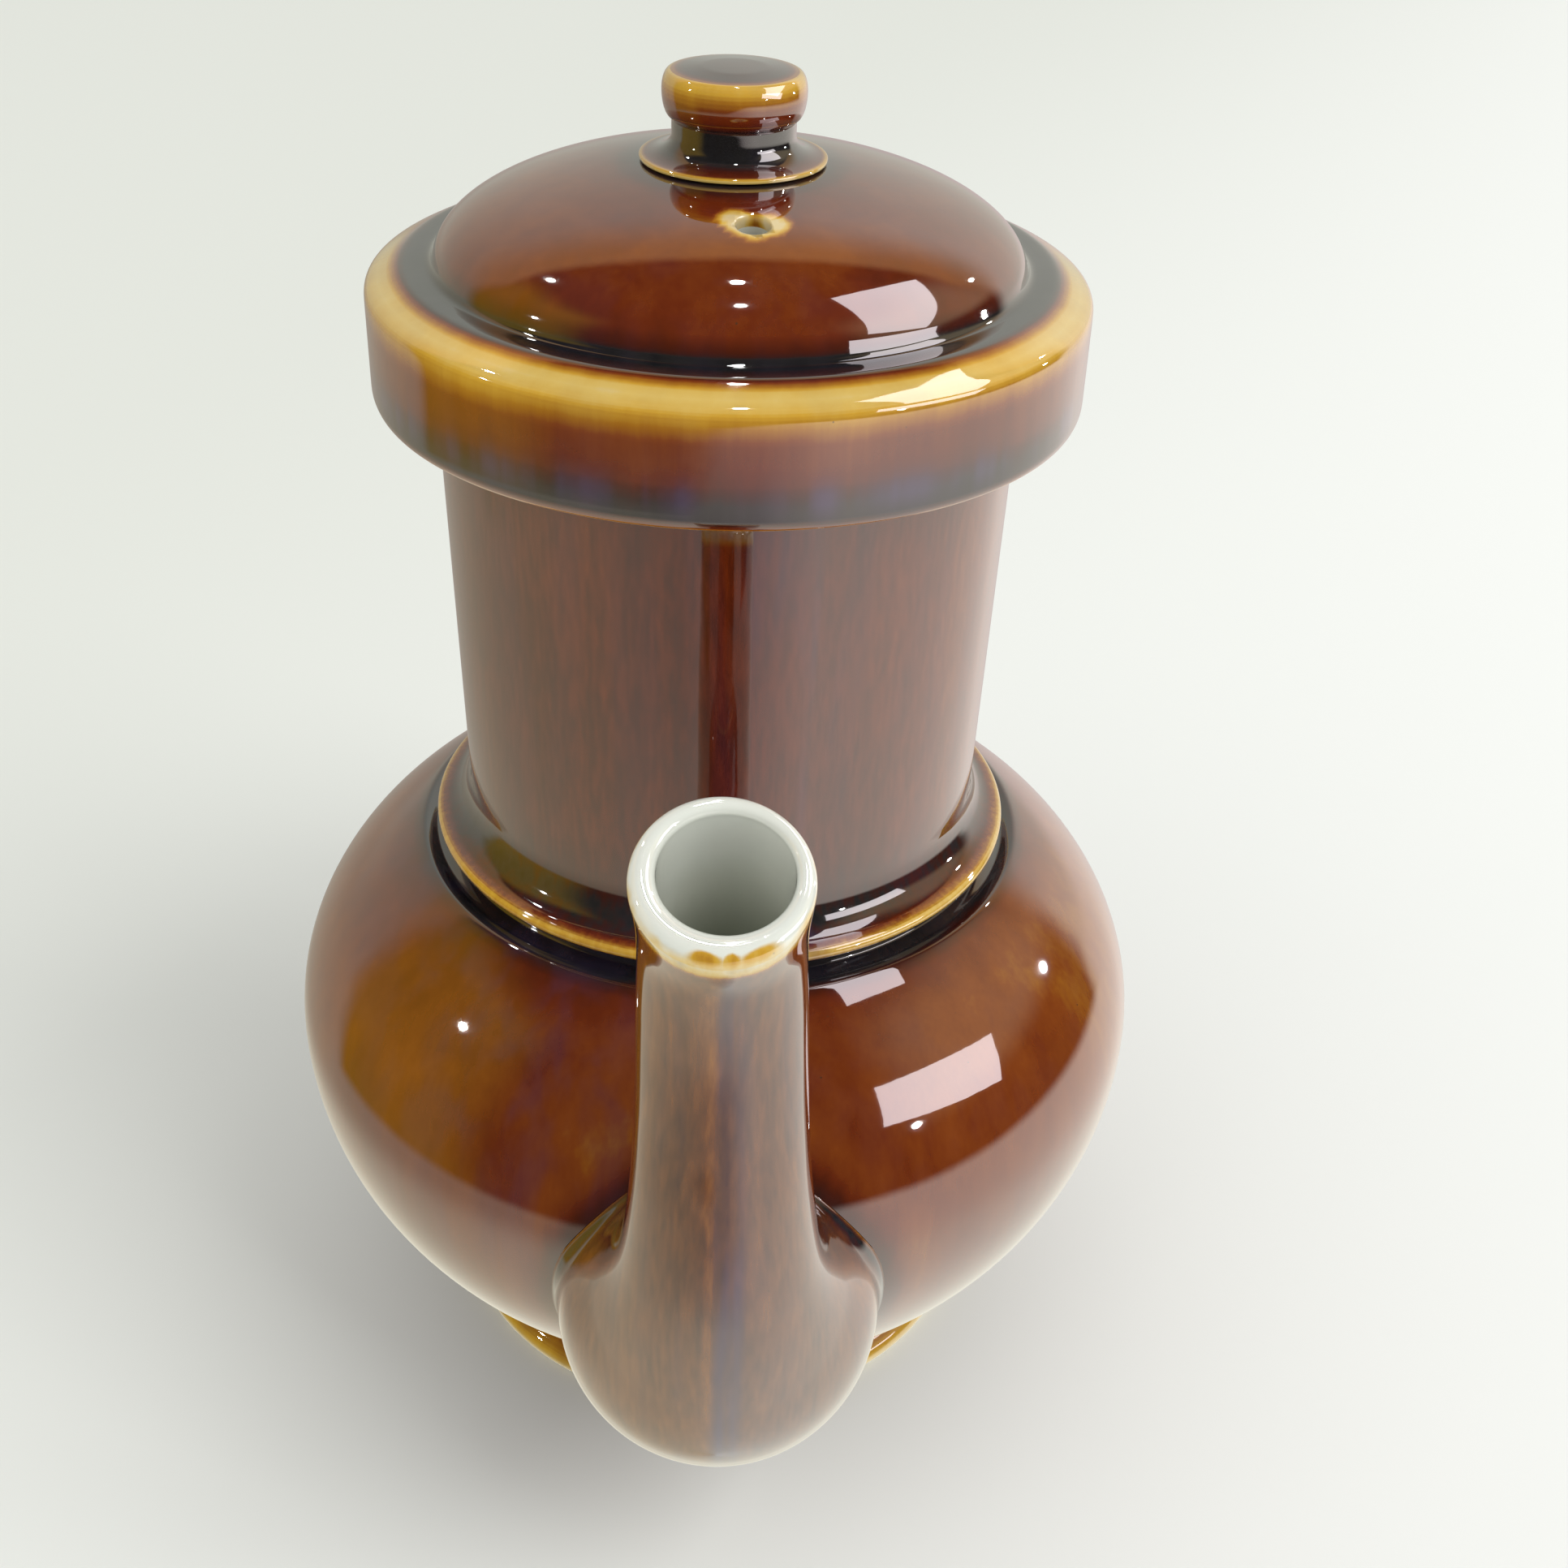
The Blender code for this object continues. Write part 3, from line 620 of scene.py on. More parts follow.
    def material(self) -> bpy.types.Material:
        """Build the node material."""
        wiring = MaterialWiring(self.name)
        brown = self.specked(wiring, self.bloomed(wiring, self.pooled(wiring)))
        satin = wiring.span(wiring.noise(self.satin_pattern), *self.satin_range)
        normal = self.surface(wiring)
        return wiring.finish(
            {
                "Base Color": self.whitened(wiring, brown),
                "Roughness": wiring.maths("MULTIPLY", satin, self.roughness),
                "Normal": normal,
                "IOR": self.ior,
                "Coat Weight": 1.0,
                "Coat Roughness": self.coat_roughness,
                "Coat IOR": self.coat_ior,
                "Coat Normal": normal,
            }
        )


@dataclass(frozen=True)
class BareClay:
    """Dull unglazed clay of the foot's resting face."""

    name: str = "bare_clay"
    light: tuple = (0.66, 0.58, 0.44)
    dark: tuple = (0.50, 0.41, 0.28)
    stain_pattern: Pattern = Pattern((160, 160, 160), 4)
    stain_range: tuple = (0.35, 0.7, (0, 1))
    roughness: float = 0.75
    grit_pattern: Pattern = Pattern((2200, 2200, 2200), 2)
    grit_depth: float = 0.00004

    def material(self) -> bpy.types.Material:
        """Build the node material."""
        wiring = MaterialWiring(self.name)
        stain = wiring.span(wiring.noise(self.stain_pattern), *self.stain_range)
        return wiring.finish(
            {
                "Base Color": wiring.mix(stain, self.light, self.dark),
                "Roughness": self.roughness,
                "Normal": wiring.bump(wiring.noise(self.grit_pattern), self.grit_depth),
            }
        )


BROWN_COLOURS = (
    (0.00, (0.80, 0.70, 0.46)),
    (0.10, (0.77, 0.54, 0.15)),
    (0.20, (0.66, 0.37, 0.040)),
    (0.32, (0.42, 0.17, 0.014)),
    (0.46, (0.235, 0.052, 0.007)),
    (0.58, (0.145, 0.021, 0.0040)),
    (0.70, (0.080, 0.0115, 0.0035)),
    (0.82, (0.045, 0.011, 0.008)),
    (0.92, (0.020, 0.019, 0.019)),
    (1.00, (0.007, 0.008, 0.010)),
)


SPOUT_COLOURS = (
    *BROWN_COLOURS[:4],
    (0.46, (0.255, 0.088, 0.018)),
    (0.58, (0.160, 0.050, 0.013)),
    (0.70, (0.090, 0.028, 0.010)),
    *BROWN_COLOURS[-3:],
)


@dataclass(frozen=True)
class Palette:
    """All finishes of the pot, each made once."""

    brown: Glaze = Glaze("brown_glaze", BROWN_COLOURS)
    tall: Glaze = Glaze("chamber_glaze", BROWN_COLOURS, clouds=0.16, runs=0.20, grain=0.30)
    spout: Glaze = Glaze("spout_glaze", SPOUT_COLOURS, clouds=0.16, runs=0.24, grain=0.36)
    white: Glaze = Glaze("white_glaze", BROWN_COLOURS)
    knob: Glaze = Glaze("knob_glaze", BROWN_COLOURS, clouds=0.12)
    clay: BareClay = BareClay()

    def made(self) -> dict[str, bpy.types.Material]:
        """Materials by the names of the fields."""
        return {key: getattr(self, key).material() for key in self.__dataclass_fields__}


def finished(
    piece: bpy.types.Object,
    values: dict[str, Array],
    materials: list[bpy.types.Material],
    nodes: tuple[str, ...],
    body: Body,
) -> bpy.types.Object:
    """Paint a piece, give it its materials and hang it on its body.

    Args:
        piece: the object to finish.
        values: per-vertex numbers by attribute name.
        materials: the piece's materials, the main one first.
        nodes: CAD nodes that it stands for.
        body: body that carries it.

    Returns:
        The same object.
    """
    for name in ("depth", "white", "bloom_and_painted_light"):
        paint(piece.data, name, values.get(name, np.zeros(len(piece.data.vertices))))
    piece.data.materials.clear()
    for material in materials:
        piece.data.materials.append(material)
    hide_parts(*nodes)
    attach(piece, body.value)
    log.info("%s: %d vertices on %s", piece.name, len(piece.data.vertices), body.value)
    return piece


def all_white(piece: bpy.types.Object) -> dict[str, Array]:
    """Values of a piece that is white all over."""
    count = len(piece.data.vertices)
    return {"depth": np.full(count, WHITE_DEPTH), "white": np.ones(count)}


# Pieces


@dataclass(frozen=True)
class Belly:
    """Round outside of the pot: two half ellipses, (r / radius)^2 + (dz / rise)^2 = 1."""

    radius: float = 0.0766
    middle: float = 0.0640
    fall: float = 0.0655
    rise: float = 0.0515

    def radius_at(self, height: float) -> float:
        """Radius of the belly at a height."""
        reach = self.rise if height > self.middle else self.fall
        return self.radius * math.sqrt(1 - ((height - self.middle) / reach) ** 2)

    def share(self, points: Array) -> Array:
        """How far out points lie, as a share of the clearance surface round the belly."""
        lift = points[..., 2] - self.middle
        reach = np.where(lift > 0, self.rise, self.fall) + GAP
        across = np.hypot(points[..., 0], points[..., 1]) / (self.radius + GAP)
        return np.hypot(across, lift / reach)

    def normal(self, points: Array) -> Array:
        """Outward direction of the belly at points near it."""
        lift = points[..., 2] - self.middle
        reach = np.where(lift > 0, self.rise, self.fall)
        slope = points * (1, 1, 0) / self.radius**2
        slope[..., 2] = lift / reach**2
        return slope / np.linalg.norm(slope, axis=-1, keepdims=True)

    def onto(self, points: Array) -> Array:
        """Points moved straight from the belly's middle onto its clearance surface."""
        middle = np.array((0, 0, self.middle))
        return middle + (points - middle) / self.share(points)[..., None]

    def degrees(self, height: float) -> float:
        """Angle on the half ellipse at which it has a height."""
        reach = self.rise if height > self.middle else self.fall
        return math.degrees(math.asin((height - self.middle) / reach))


def smooth_path(stations: Array, count: int) -> Array:
    """Catmull-Rom curve through rows of stations, evenly stepped in its parameter.

    Between b and c, with neighbours a and d, it is half of
    2b + (c - a) t + (2a - 5b + 4c - d) t^2 + (3b - a - 3c + d) t^3.
    """
    ends = np.vstack((stations[:1], stations, stations[-1:]))
    place = np.linspace(0, len(stations) - 1, count)
    span = np.minimum(place.astype(int), len(stations) - 2)
    t = (place - span)[:, None]
    a, b, c, d = (ends[span + step] for step in range(4))
    cubic = (3 * b - a - 3 * c + d) * t**3
    return 0.5 * (2 * b + (c - a) * t + (2 * a - 5 * b + 4 * c - d) * t**2 + cubic)


def rows_at(table: Array, places: Array) -> Array:
    """Rows of a fine table at fractional places from 0 to 1, evenly mixed between."""
    place = np.clip(places, 0, 1) * (len(table) - 1)
    low = np.minimum(place.astype(int), len(table) - 2)
    share = (place - low)[..., None]
    return table[low] * (1 - share) + table[low + 1] * share


def headings(centres: Array) -> Array:
    """Unit direction of a fine path at each of its points."""
    along = np.gradient(centres, axis=0)
    return along / np.linalg.norm(along, axis=1, keepdims=True)


def flared(surface: Array, belly: Belly, spread: float, reach: float) -> Array:
    """Spread a root along the belly: by spread * exp(-(distance / reach)^2) sideways.

    The sideways direction is from the middle of each row outwards, less its part along
    the belly's normal, so the seam stays at its height over the belly.

    Args:
        surface: grid of points, rows of rings.
        belly: the belly that the root stands on.
        spread: widening at the seam.
        reach: distance over which it fades.

    Returns:
        The widened grid.
    """
    distance = (belly.share(surface) - 1) * belly.radius
    out = surface - surface.mean(axis=1, keepdims=True)
    normal = belly.normal(surface)
    out -= (out * normal).sum(axis=-1, keepdims=True) * normal
    out /= np.linalg.norm(out, axis=-1, keepdims=True) + FINE_STEP
    return surface + out * (spread * bell(distance, 0, reach))[..., None]


@dataclass(frozen=True)
class Spout:
    """Hollow S-shaped spout with a swollen root and a thick white lip.

    A station is a share of the standoff, of the rise and of the swelling. Streaks and
    spots are rows of (x, width, strength). The tables of depths, whites and painted shade
    give distances or ring numbers and the values there; the painted shade darkens the
    white deep in the bore.
    """

    belly: Belly = Belly()
    standoff: float = 0.0273
    root_height: float = 0.0540
    root_radius: float = 0.0260
    tube_radius: float = 0.0118
    tip_height: float = 0.1519
    lip_radius: float = 0.0121
    lip_tilt: float = math.radians(60.8)
    wall: float = 0.0026
    lean: float = -0.0011
    mouth_wall: float = 0.0005
    bore_shift: float = 0.0005
    bore_lift: float = 0.0010
    bore_squash: float = 0.94
    root_spread: float = 0.0011
    root_reach: float = 0.0016
    rings: int = 170
    steps: int = 128
    lip_rings: int = 20
    fine_steps: int = 900
    turn_share: float = 1 / 12
    mouth_share: float = 0.10
    ring_crowding: float = 1.5
    seam_depths: tuple = (
        (0, 0.0009, 0.0022, 0.005, 0.011, 0.020),
        (0.36, 0.95, 0.70, 0.52, 0.60, 0.62),
    )
    edge_depths: tuple = ((0.0, 0.0012, 0.0018, 0.0026, 0.006), (0.05, 0.10, 0.22, 0.56, 2.0))
    edge_whites: tuple = ((0, 0.0010, 0.0018), (0.42, 0.36, 0.0))
    bloom_and_painted_light: float = 0.10
    streaks: tuple = ((-0.0002, 0.0008, 1.0), (0.0019, 0.0010, 0.40), (-0.0062, 0.0006, 0.25))
    pale_streak: tuple = (-0.0020, 0.0007, 0.10)
    streak_depth: float = 0.12
    streak_bloom: float = 1.50
    streak_end: float = 0.004
    spots: tuple = ((-0.0021, 0.0016, 0.90), (0.0012, 0.0008, 0.75), (0.0044, 0.0024, 0.55))
    spot_place: float = 0.0019
    spot_height: float = 0.0009
    spot_depth: float = 0.17
    lip_depth: float = 0.11
    lip_whites: tuple = ((0, 3, 8), (0.42, 0.58, 1.0))
    # Painted shade: how far down the bore the white is darkened, by ring number.
    bore_painted_shade: tuple = ((12, 50), (0.0, 1.0))
    stations: tuple = (
        (-0.63, 0.000, 0.93),
        (-0.21, 0.000, 1.00),
        (0.10, 0.067, 0.91),
        (0.35, 0.181, 0.52),
        (0.49, 0.302, 0.235),
        (0.51, 0.450, 0.09),
        (0.46, 0.591, 0.03),
        (0.43, 0.745, 0.00),
        (0.48, 0.889, -0.03),
    )

    def last_part(self, share: float) -> Array:
        """Rise from 0 to 1 over the last share of the fine path, and 0 before it."""
        return np.clip(np.linspace(1 - 1 / share, 1, self.fine_steps), 0, 1)[:, None]

    def course(self) -> tuple[Array, Array, Array, Array]:
        """Centres, radii, headings and mouth direction of the fine path."""
        start = -self.belly.radius_at(self.root_height)
        shares = np.array(self.stations)
        rows = np.column_stack(
            (
                start - shares[:, 0] * self.standoff,
                self.root_height + shares[:, 1] * (self.tip_height - self.root_height),
                self.tube_radius + shares[:, 2] * (self.root_radius - self.tube_radius),
            )
        )
        setback = self.lip_radius * math.sin(self.lip_tilt)
        tip = (start - self.standoff + setback, self.tip_height, self.lip_radius)
        path = smooth_path(np.vstack((rows, tip)), self.fine_steps)
        aside = self.lean * np.linspace(0, 1, len(path)) ** 2
        centres = np.column_stack((aside, path[:, :2]))
        mouth = np.array((0, -math.cos(self.lip_tilt), math.sin(self.lip_tilt)))
        turn = self.last_part(self.turn_share)
        ahead = headings(centres) * (1 - turn) + mouth * turn
        ahead /= np.linalg.norm(ahead, axis=1, keepdims=True)
        return centres, path[:, 2], ahead, mouth

    def skin(self, inset: float, spread: float) -> tuple[Array, Array]:
        """One wall surface of the spout, from its seam on the belly to the lip.

        A point is centre + radius * (cos a, sin a) in the plane square to the path. For
        each angle a the wall starts where the path's last point inside the belly lies.
        Near the mouth the bore narrows, flattens and moves off the middle.

        Args:
            inset: how far the surface lies inside the outside.
            spread: widening at the seam.

        Returns:
            Grid of points, ring by ring, and the share of the path at each.
        """
        centres, radii, ahead, _ = self.course()
        angles = np.arange(self.steps) * math.tau / self.steps
        side = np.array((1.0, 0.0, 0.0))
        up = np.cross(ahead, side)
        near = self.last_part(self.mouth_share) * (inset > 0)
        squash = 1 - (1 - self.bore_squash) * near
        radius = (radii - inset)[:, None] - self.mouth_wall * near
        across = radius * np.cos(angles) + self.bore_shift * near
        over = radius * np.sin(angles) * squash + self.bore_lift * near
        fine = centres[:, None] + across[..., None] * side + over[..., None] * up[:, None]
        inside = self.belly.share(fine) < 1
        last = len(radii) - 1 - np.argmax(inside[::-1], axis=0)
        first = last / (len(radii) - 1)
        share = np.linspace(0, 1, self.rings)[:, None] ** self.ring_crowding
        places = first + (1 - first) * share
        made = np.stack([rows_at(fine[:, k], places[:, k]) for k in range(self.steps)], axis=1)
        made[0] = self.belly.onto(made[0])
        return (flared(made, self.belly, spread, self.root_reach) if spread else made), places

    def seam(self) -> Array:
        """Points of the outer seam on the belly."""
        seam = self.skin(0, self.root_spread)[0][0]
        return evenly(np.vstack((seam, seam[:1])), 2 * FINE_STEP)

    def lip(self, outer: Array, inner: Array) -> Array:
        """Rounded lip: half turns from the outer edge to the inner one.

        A point is middle + half * cos a + mouth * size * sin a, where middle and half
        come from the two edges.
        """
        mouth = self.course()[3]
        turn = np.linspace(0, math.pi, self.lip_rings + 2)[1:-1, None, None]
        half = (outer - inner) / 2
        size = np.linalg.norm(half, axis=1, keepdims=True)
        return (outer + inner) / 2 + half * np.cos(turn) + mouth * size * np.sin(turn)

    def streaks_at(self, outside: Array) -> tuple[Array, Array]:
        """How strong the violet streaks and the pale one are on the outside's front."""
        front = outside[..., 1] < outside[..., 1].mean(axis=1, keepdims=True)
        across = outside[..., 0]
        violet = np.maximum.reduce(
            [share * bell(across, place, width) for place, width, share in self.streaks]
        )
        place, width, share = self.pale_streak
        return violet * front, share * bell(across, place, width) * front

    def glaze(self, outside: Array, lip: Array, inside_rows: int) -> dict[str, Array]:
        """Depth, whiteness and bloom of the spout's glaze, ring by ring, with painted shade deep
        in the bore.

        Args:
            outside: points of the outside, from the seam to the lip.
            lip: points of the rounded lip.
            inside_rows: number of rings inside.

        Returns:
            Per-vertex numbers by attribute name.
        """
        seam = (self.belly.share(outside) - 1) * self.belly.radius
        edge = np.linalg.norm(outside - outside[-1:], axis=-1)
        depth = np.interp(seam, *self.seam_depths)
        depth = np.minimum(depth, np.interp(edge, *self.edge_depths))
        violet, pale = self.streaks_at(outside)
        depth = depth + (self.streak_depth * violet - pale) * (edge > self.streak_end)
        spots = self.lip_spots(outside, edge, lip)
        lip_depth = self.lip_depth + self.spot_depth * spots[self.rings :][: len(lip)]
        rolled = np.interp(np.arange(len(lip)), *self.lip_whites)[:, None]
        rolled = np.repeat(rolled, self.steps, axis=1)
        # Painted shade: the white inside the bore is darkened ring by ring.
        dim = np.interp(np.arange(inside_rows), *self.bore_painted_shade)[:, None]
        rest = np.ones((inside_rows, self.steps))
        white = np.vstack((np.interp(edge, *self.edge_whites), rolled, rest)) - spots
        bloom_and_painted_light = self.bloom_and_painted_light + self.streak_bloom * violet
        return {
            "depth": np.vstack((depth, lip_depth, WHITE_DEPTH * rest)).ravel(),
            "white": white.ravel(),
            "bloom_and_painted_light": np.vstack((bloom_and_painted_light, 0 * rolled, dim * rest)).ravel(),
        }

    def lip_spots(self, outside: Array, edge: Array, lip: Array) -> Array:
        """Loss of white in the few brown spots on the lip's lower edge, ring by ring."""
        beyond = -np.linalg.norm(lip - outside[-1:], axis=-1)
        across = np.vstack((outside[..., 0], lip[..., 0])) - self.lean
        along = np.vstack((edge, beyond))
        places = np.vstack((outside[..., 1], lip[..., 1]))
        front = places < outside[-1, :, 1].mean()
        band = bell(along, -self.spot_place, self.spot_height)
        lost = np.zeros(across.shape)
        for place, half, share in self.spots:
            lost = np.maximum(lost, share * bell(across, place, half) * band * front)
        return np.vstack((lost, np.zeros((self.rings, self.steps))))

    def build(self, finishes: dict[str, bpy.types.Material]) -> bpy.types.Object:
        """Make the spout as one closed tube: outside, lip and inside."""
        outside = self.skin(0, self.root_spread)[0]
        inside = self.skin(self.wall, 0)[0][::-1]
        lip = self.lip(outside[-1], inside[0])
        grid = np.concatenate((outside, lip, inside))
        quads = grid_faces(len(grid), self.steps, True)
        mesh = make_mesh("spout_glazed", grid.reshape(-1, 3), quads, np.empty((0, 3), int))
        return finished(
            link("spout_glazed", mesh),
            self.glaze(outside, lip, len(inside)),
            [finishes["spout"]],
            ("spout",),
            Body.POT,
        )


@dataclass(frozen=True)
class Handle:
    """Ear handle of oval section, luted to the belly at both ends."""

    belly: Belly = Belly()
    standoff: float = 0.0274
    top: float = 0.1120
    low: float = 0.0330
    width: float = 0.0170
    thickness: float = 0.0096
    squareness: float = 0.80
    root_spread: float = 0.0014
    root_reach: float = 0.0024
    rings: int = 200
    steps: int = 80
    cap_rings: int = 6
    fine_steps: int = 1200
    ring_crowding: float = 0.7
    seam_depths: tuple = ((0, 0.0010, 0.0028, 0.006, 0.012), (0.40, 0.95, 0.74, 0.60, 0.56))
    bloom_and_painted_light: float = 0.12
    stations: tuple = (
        (-0.77, 0.69, 1.25, 1.50),
        (-0.31, 0.80, 1.12, 1.25),
        (0.16, 0.94, 1.04, 1.08),
        (0.60, 1.00, 1.00, 1.00),
        (0.92, 0.94, 1.00, 1.00),
        (1.00, 0.80, 0.98, 1.00),
        (0.94, 0.58, 0.94, 0.96),
        (0.74, 0.36, 0.88, 0.92),
        (0.41, 0.16, 0.82, 0.88),
        (-0.03, 0.04, 0.84, 0.95),
        (-0.80, -0.01, 0.95, 1.20),
    )

    def skin(self) -> Array:
        """Outside of the handle between its two seams, as a grid of rings.

        A point is centre + width * c * side + thickness * s * up, with c and s the cosine
        and sine of the ring's angle raised to the power squareness, signs kept.
        """
        shares = np.array(self.stations)
        reach = self.standoff - self.thickness / 2
        rise = self.top - self.thickness / 2 - self.low
        rows = np.column_stack(
            (
                self.belly.radius + shares[:, 0] * reach,
                self.low + shares[:, 1] * rise,
                shares[:, 2] * self.width / 2,
                shares[:, 3] * self.thickness / 2,
            )
        )
        path = smooth_path(rows, self.fine_steps)
        centres = np.column_stack((np.zeros(len(path)), path[:, :2]))
        side = np.array((1.0, 0.0, 0.0))
        up = np.cross(headings(centres), side)
        angles = np.arange(self.steps) * math.tau / self.steps
        across = np.sign(np.cos(angles)) * np.abs(np.cos(angles)) ** self.squareness
        over = np.sign(np.sin(angles)) * np.abs(np.sin(angles)) ** self.squareness
        fine = centres[:, None] + (path[:, 2:3] * across)[..., None] * side
        fine = fine + (path[:, 3:4] * over)[..., None] * up[:, None]
        outside = self.belly.share(fine) > 1
        first = np.argmax(outside, axis=0) / (len(path) - 1)
        last = 1 - np.argmax(outside[::-1], axis=0) / (len(path) - 1)
        share = np.linspace(0, 1, self.rings)
        share = share - self.ring_crowding * np.sin(math.tau * share) / math.tau
        places = first + (last - first) * share[:, None]
        made = np.stack([rows_at(fine[:, k], places[:, k]) for k in range(self.steps)], axis=1)
        made[[0, -1]] = self.belly.onto(made[[0, -1]])
        return flared(made, self.belly, self.root_spread, self.root_reach)

    def seams(self) -> Array:
        """Points of both seams on the belly."""
        ends = self.skin()[[0, -1]]
        return np.vstack([evenly(np.vstack((end, end[:1])), 2 * FINE_STEP) for end in ends])

    def cap(self, ring: Array) -> Array:
        """Rings that close an end along the belly, from near the middle to the seam."""
        middle = ring.mean(axis=0)
        share = (np.arange(1, self.cap_rings) / self.cap_rings)[:, None, None]
        return self.belly.onto(middle + (ring - middle) * share)

    def build(self, finishes: dict[str, bpy.types.Material]) -> bpy.types.Object:
        """Make the handle with its hidden ends closed."""
        skin = self.skin()
        grid = np.concatenate((self.cap(skin[0]), skin, self.cap(skin[-1])[::-1]))
        tips = self.belly.onto(np.stack((skin[0].mean(axis=0), skin[-1].mean(axis=0))))
        count = len(grid) * self.steps
        first = np.arange(self.steps)
        fans = np.vstack(
            (fan_faces(first[::-1], count), fan_faces(first + count - self.steps, count + 1))
        )
        vertices = np.vstack((grid.reshape(-1, 3), tips))
        quads = grid_faces(len(grid), self.steps, False)
        mesh = make_mesh("handle_glazed", vertices, quads, fans)
        seam = (self.belly.share(vertices) - 1) * self.belly.radius
        depth = np.interp(seam, *self.seam_depths)
        values = {"depth": depth, "bloom_and_painted_light": np.full(len(depth), self.bloom_and_painted_light)}
        return finished(
            link("handle_glazed", mesh),
            values,
            [finishes["brown"]],
            ("handle",),
            Body.POT,
        )


@dataclass(frozen=True)
class Pot:
    """Belly, foot ring and neck, thrown in one, with strainer holes behind the spout."""

    belly: Belly = Belly()
    wall: float = 0.0042
    shoulder_wall: float = 0.0060
    floor: float = 0.0052
    foot_height: float = 0.0115
    foot_flare: float = 0.0044
    foot_edge: float = 0.0016
    foot_face: float = 0.0052
    foot_recess: float = 0.0030
    mouth: float = 0.0436
    neck_wall: float = 0.0040
    neck_height: float = 0.0021
    groove_width: float = 0.0050
    groove_depth: float = 0.0008
    rim_round: float = 0.0008
    hole_radius: float = 0.0028
    hole_pitch: float = 0.0090
    hole_height: float = 0.0540
    rounding: Rounding = Rounding(0.00045, 0.0016, math.radians(7))
    root_margin: float = 0.02
    crease_depth: float = 0.28
    crease_width: float = 0.0024
    ridge_depth: float = 0.05
    ridge_place: float = 0.0075
    ridge_width: float = 0.0028
    # The next two fields paint light: the brown turns lighter towards +x, the side the light comes
    # from.
    painted_light_side: tuple = (0.010, 0.060)
    painted_light_lift: float = 0.07
    bloom_and_painted_light: float = 0.05
    violet_place: float = -0.030
    violet_width: float = 0.024
    violet_bloom_and_painted_reflection: float = 0.16

    @property
    def neck(self) -> float:
        """Outer radius of the neck."""
        return self.mouth + self.neck_wall

    @property
    def shoulder(self) -> float:
        """Height of the belly where the groove round the neck starts."""
        share = (self.neck + self.groove_width) / self.belly.radius
        return self.belly.middle + self.belly.rise * math.sqrt(1 - share**2)

    @property
    def height(self) -> float:
        """Height of the pot's rim."""
        return self.shoulder + self.neck_height

    def outline(self) -> Array:
        """Outline from the axis under the foot, up the outside and down the inside."""
        belly, edge = self.belly, self.foot_edge
        middle = (0, belly.middle)
        waist = belly.radius_at(self.foot_height)
        face = waist + self.foot_flare - edge
        inner = belly.radius - self.wall
        floor = self.foot_recess + self.floor
        low = math.degrees(math.asin((floor - belly.middle) / (belly.fall - self.wall)))
        high = math.degrees(math.acos(self.mouth / inner))
        round_off, top = self.rim_round, self.height
        flare = (self.foot_flare, self.foot_height - 2 * edge)
        return joined(
            (0, self.foot_recess),
            (face - self.foot_face - self.foot_recess / 2, self.foot_recess),
            (face - self.foot_face, 0),
            arc((face, edge), (edge, edge), -90, 0, 8),
            arc((face + edge, self.foot_height), flare, 260, 180, 12),
            arc(middle, (belly.radius, belly.fall), belly.degrees(self.foot_height), 0, 60)[1:],
            arc(middle, (belly.radius, belly.rise), 0, belly.degrees(self.shoulder), 60)[1:],
            (self.neck + self.groove_width / 2, self.shoulder - self.groove_depth),
            (self.neck, self.shoulder),
            (self.neck, top - round_off),
            (self.neck - round_off, top),
            (self.mouth + round_off, top),
            (self.mouth, top - round_off),
            arc(middle, (inner, belly.rise - self.shoulder_wall), high, 0, 60),
            arc(middle, (inner, belly.fall - self.wall), 0, low, 60)[1:],
            (0, floor),
        )

    def stops(self) -> tuple:
        """Glaze along the outline: bare foot edge, dark foot groove, dark neck in painted shade
        under the flange, white inside.
        """
        waist = self.belly.radius_at(self.foot_height)
        foot = waist + self.foot_flare
        return (
            (0, self.foot_recess, 0.60, 0),
            (foot - 0.0080, self.foot_recess, 0.40, 0),
            (foot - self.foot_edge, 0, 0.0, 0),
            (foot, self.foot_edge, 0.10, 0),
            (foot - 0.0006, 0.0034, 0.30, 0),
            (waist + 0.0012, 0.0070, 0.66, 0),
            (waist, self.foot_height, 0.97, 0),
            (waist + 0.0028, self.foot_height + 0.0025, 0.80, 0),
            (waist + 0.0075, self.foot_height + 0.0075, 0.62, 0),
            (self.belly.radius, self.belly.middle, 0.57, 0),
            (0.0705, 0.0841, 0.52, 0),
            (0.0600, 0.0960, 0.53, 0),
            (self.neck + self.groove_width + 0.0016, self.shoulder - 0.0012, 0.64, 0),
            (self.neck + self.groove_width, self.shoulder, 0.86, 0),
            (self.neck + self.groove_width / 2, self.shoulder - self.groove_depth, 1.0, 0),
            # Painted shade, partly: the neck under the chamber's flange is painted near black
            # where shade falls, beyond the glaze pooled in the groove.
            (self.neck, self.shoulder, 1.0, 0),
            (self.neck, self.height - 0.0006, 0.85, 0),
            (self.neck - 0.0018, self.height, 0.30, 0.2),
            (self.mouth + 0.0008, self.height, 0.20, 1),
            (0, self.foot_recess + self.floor, 0.20, 1),
        )

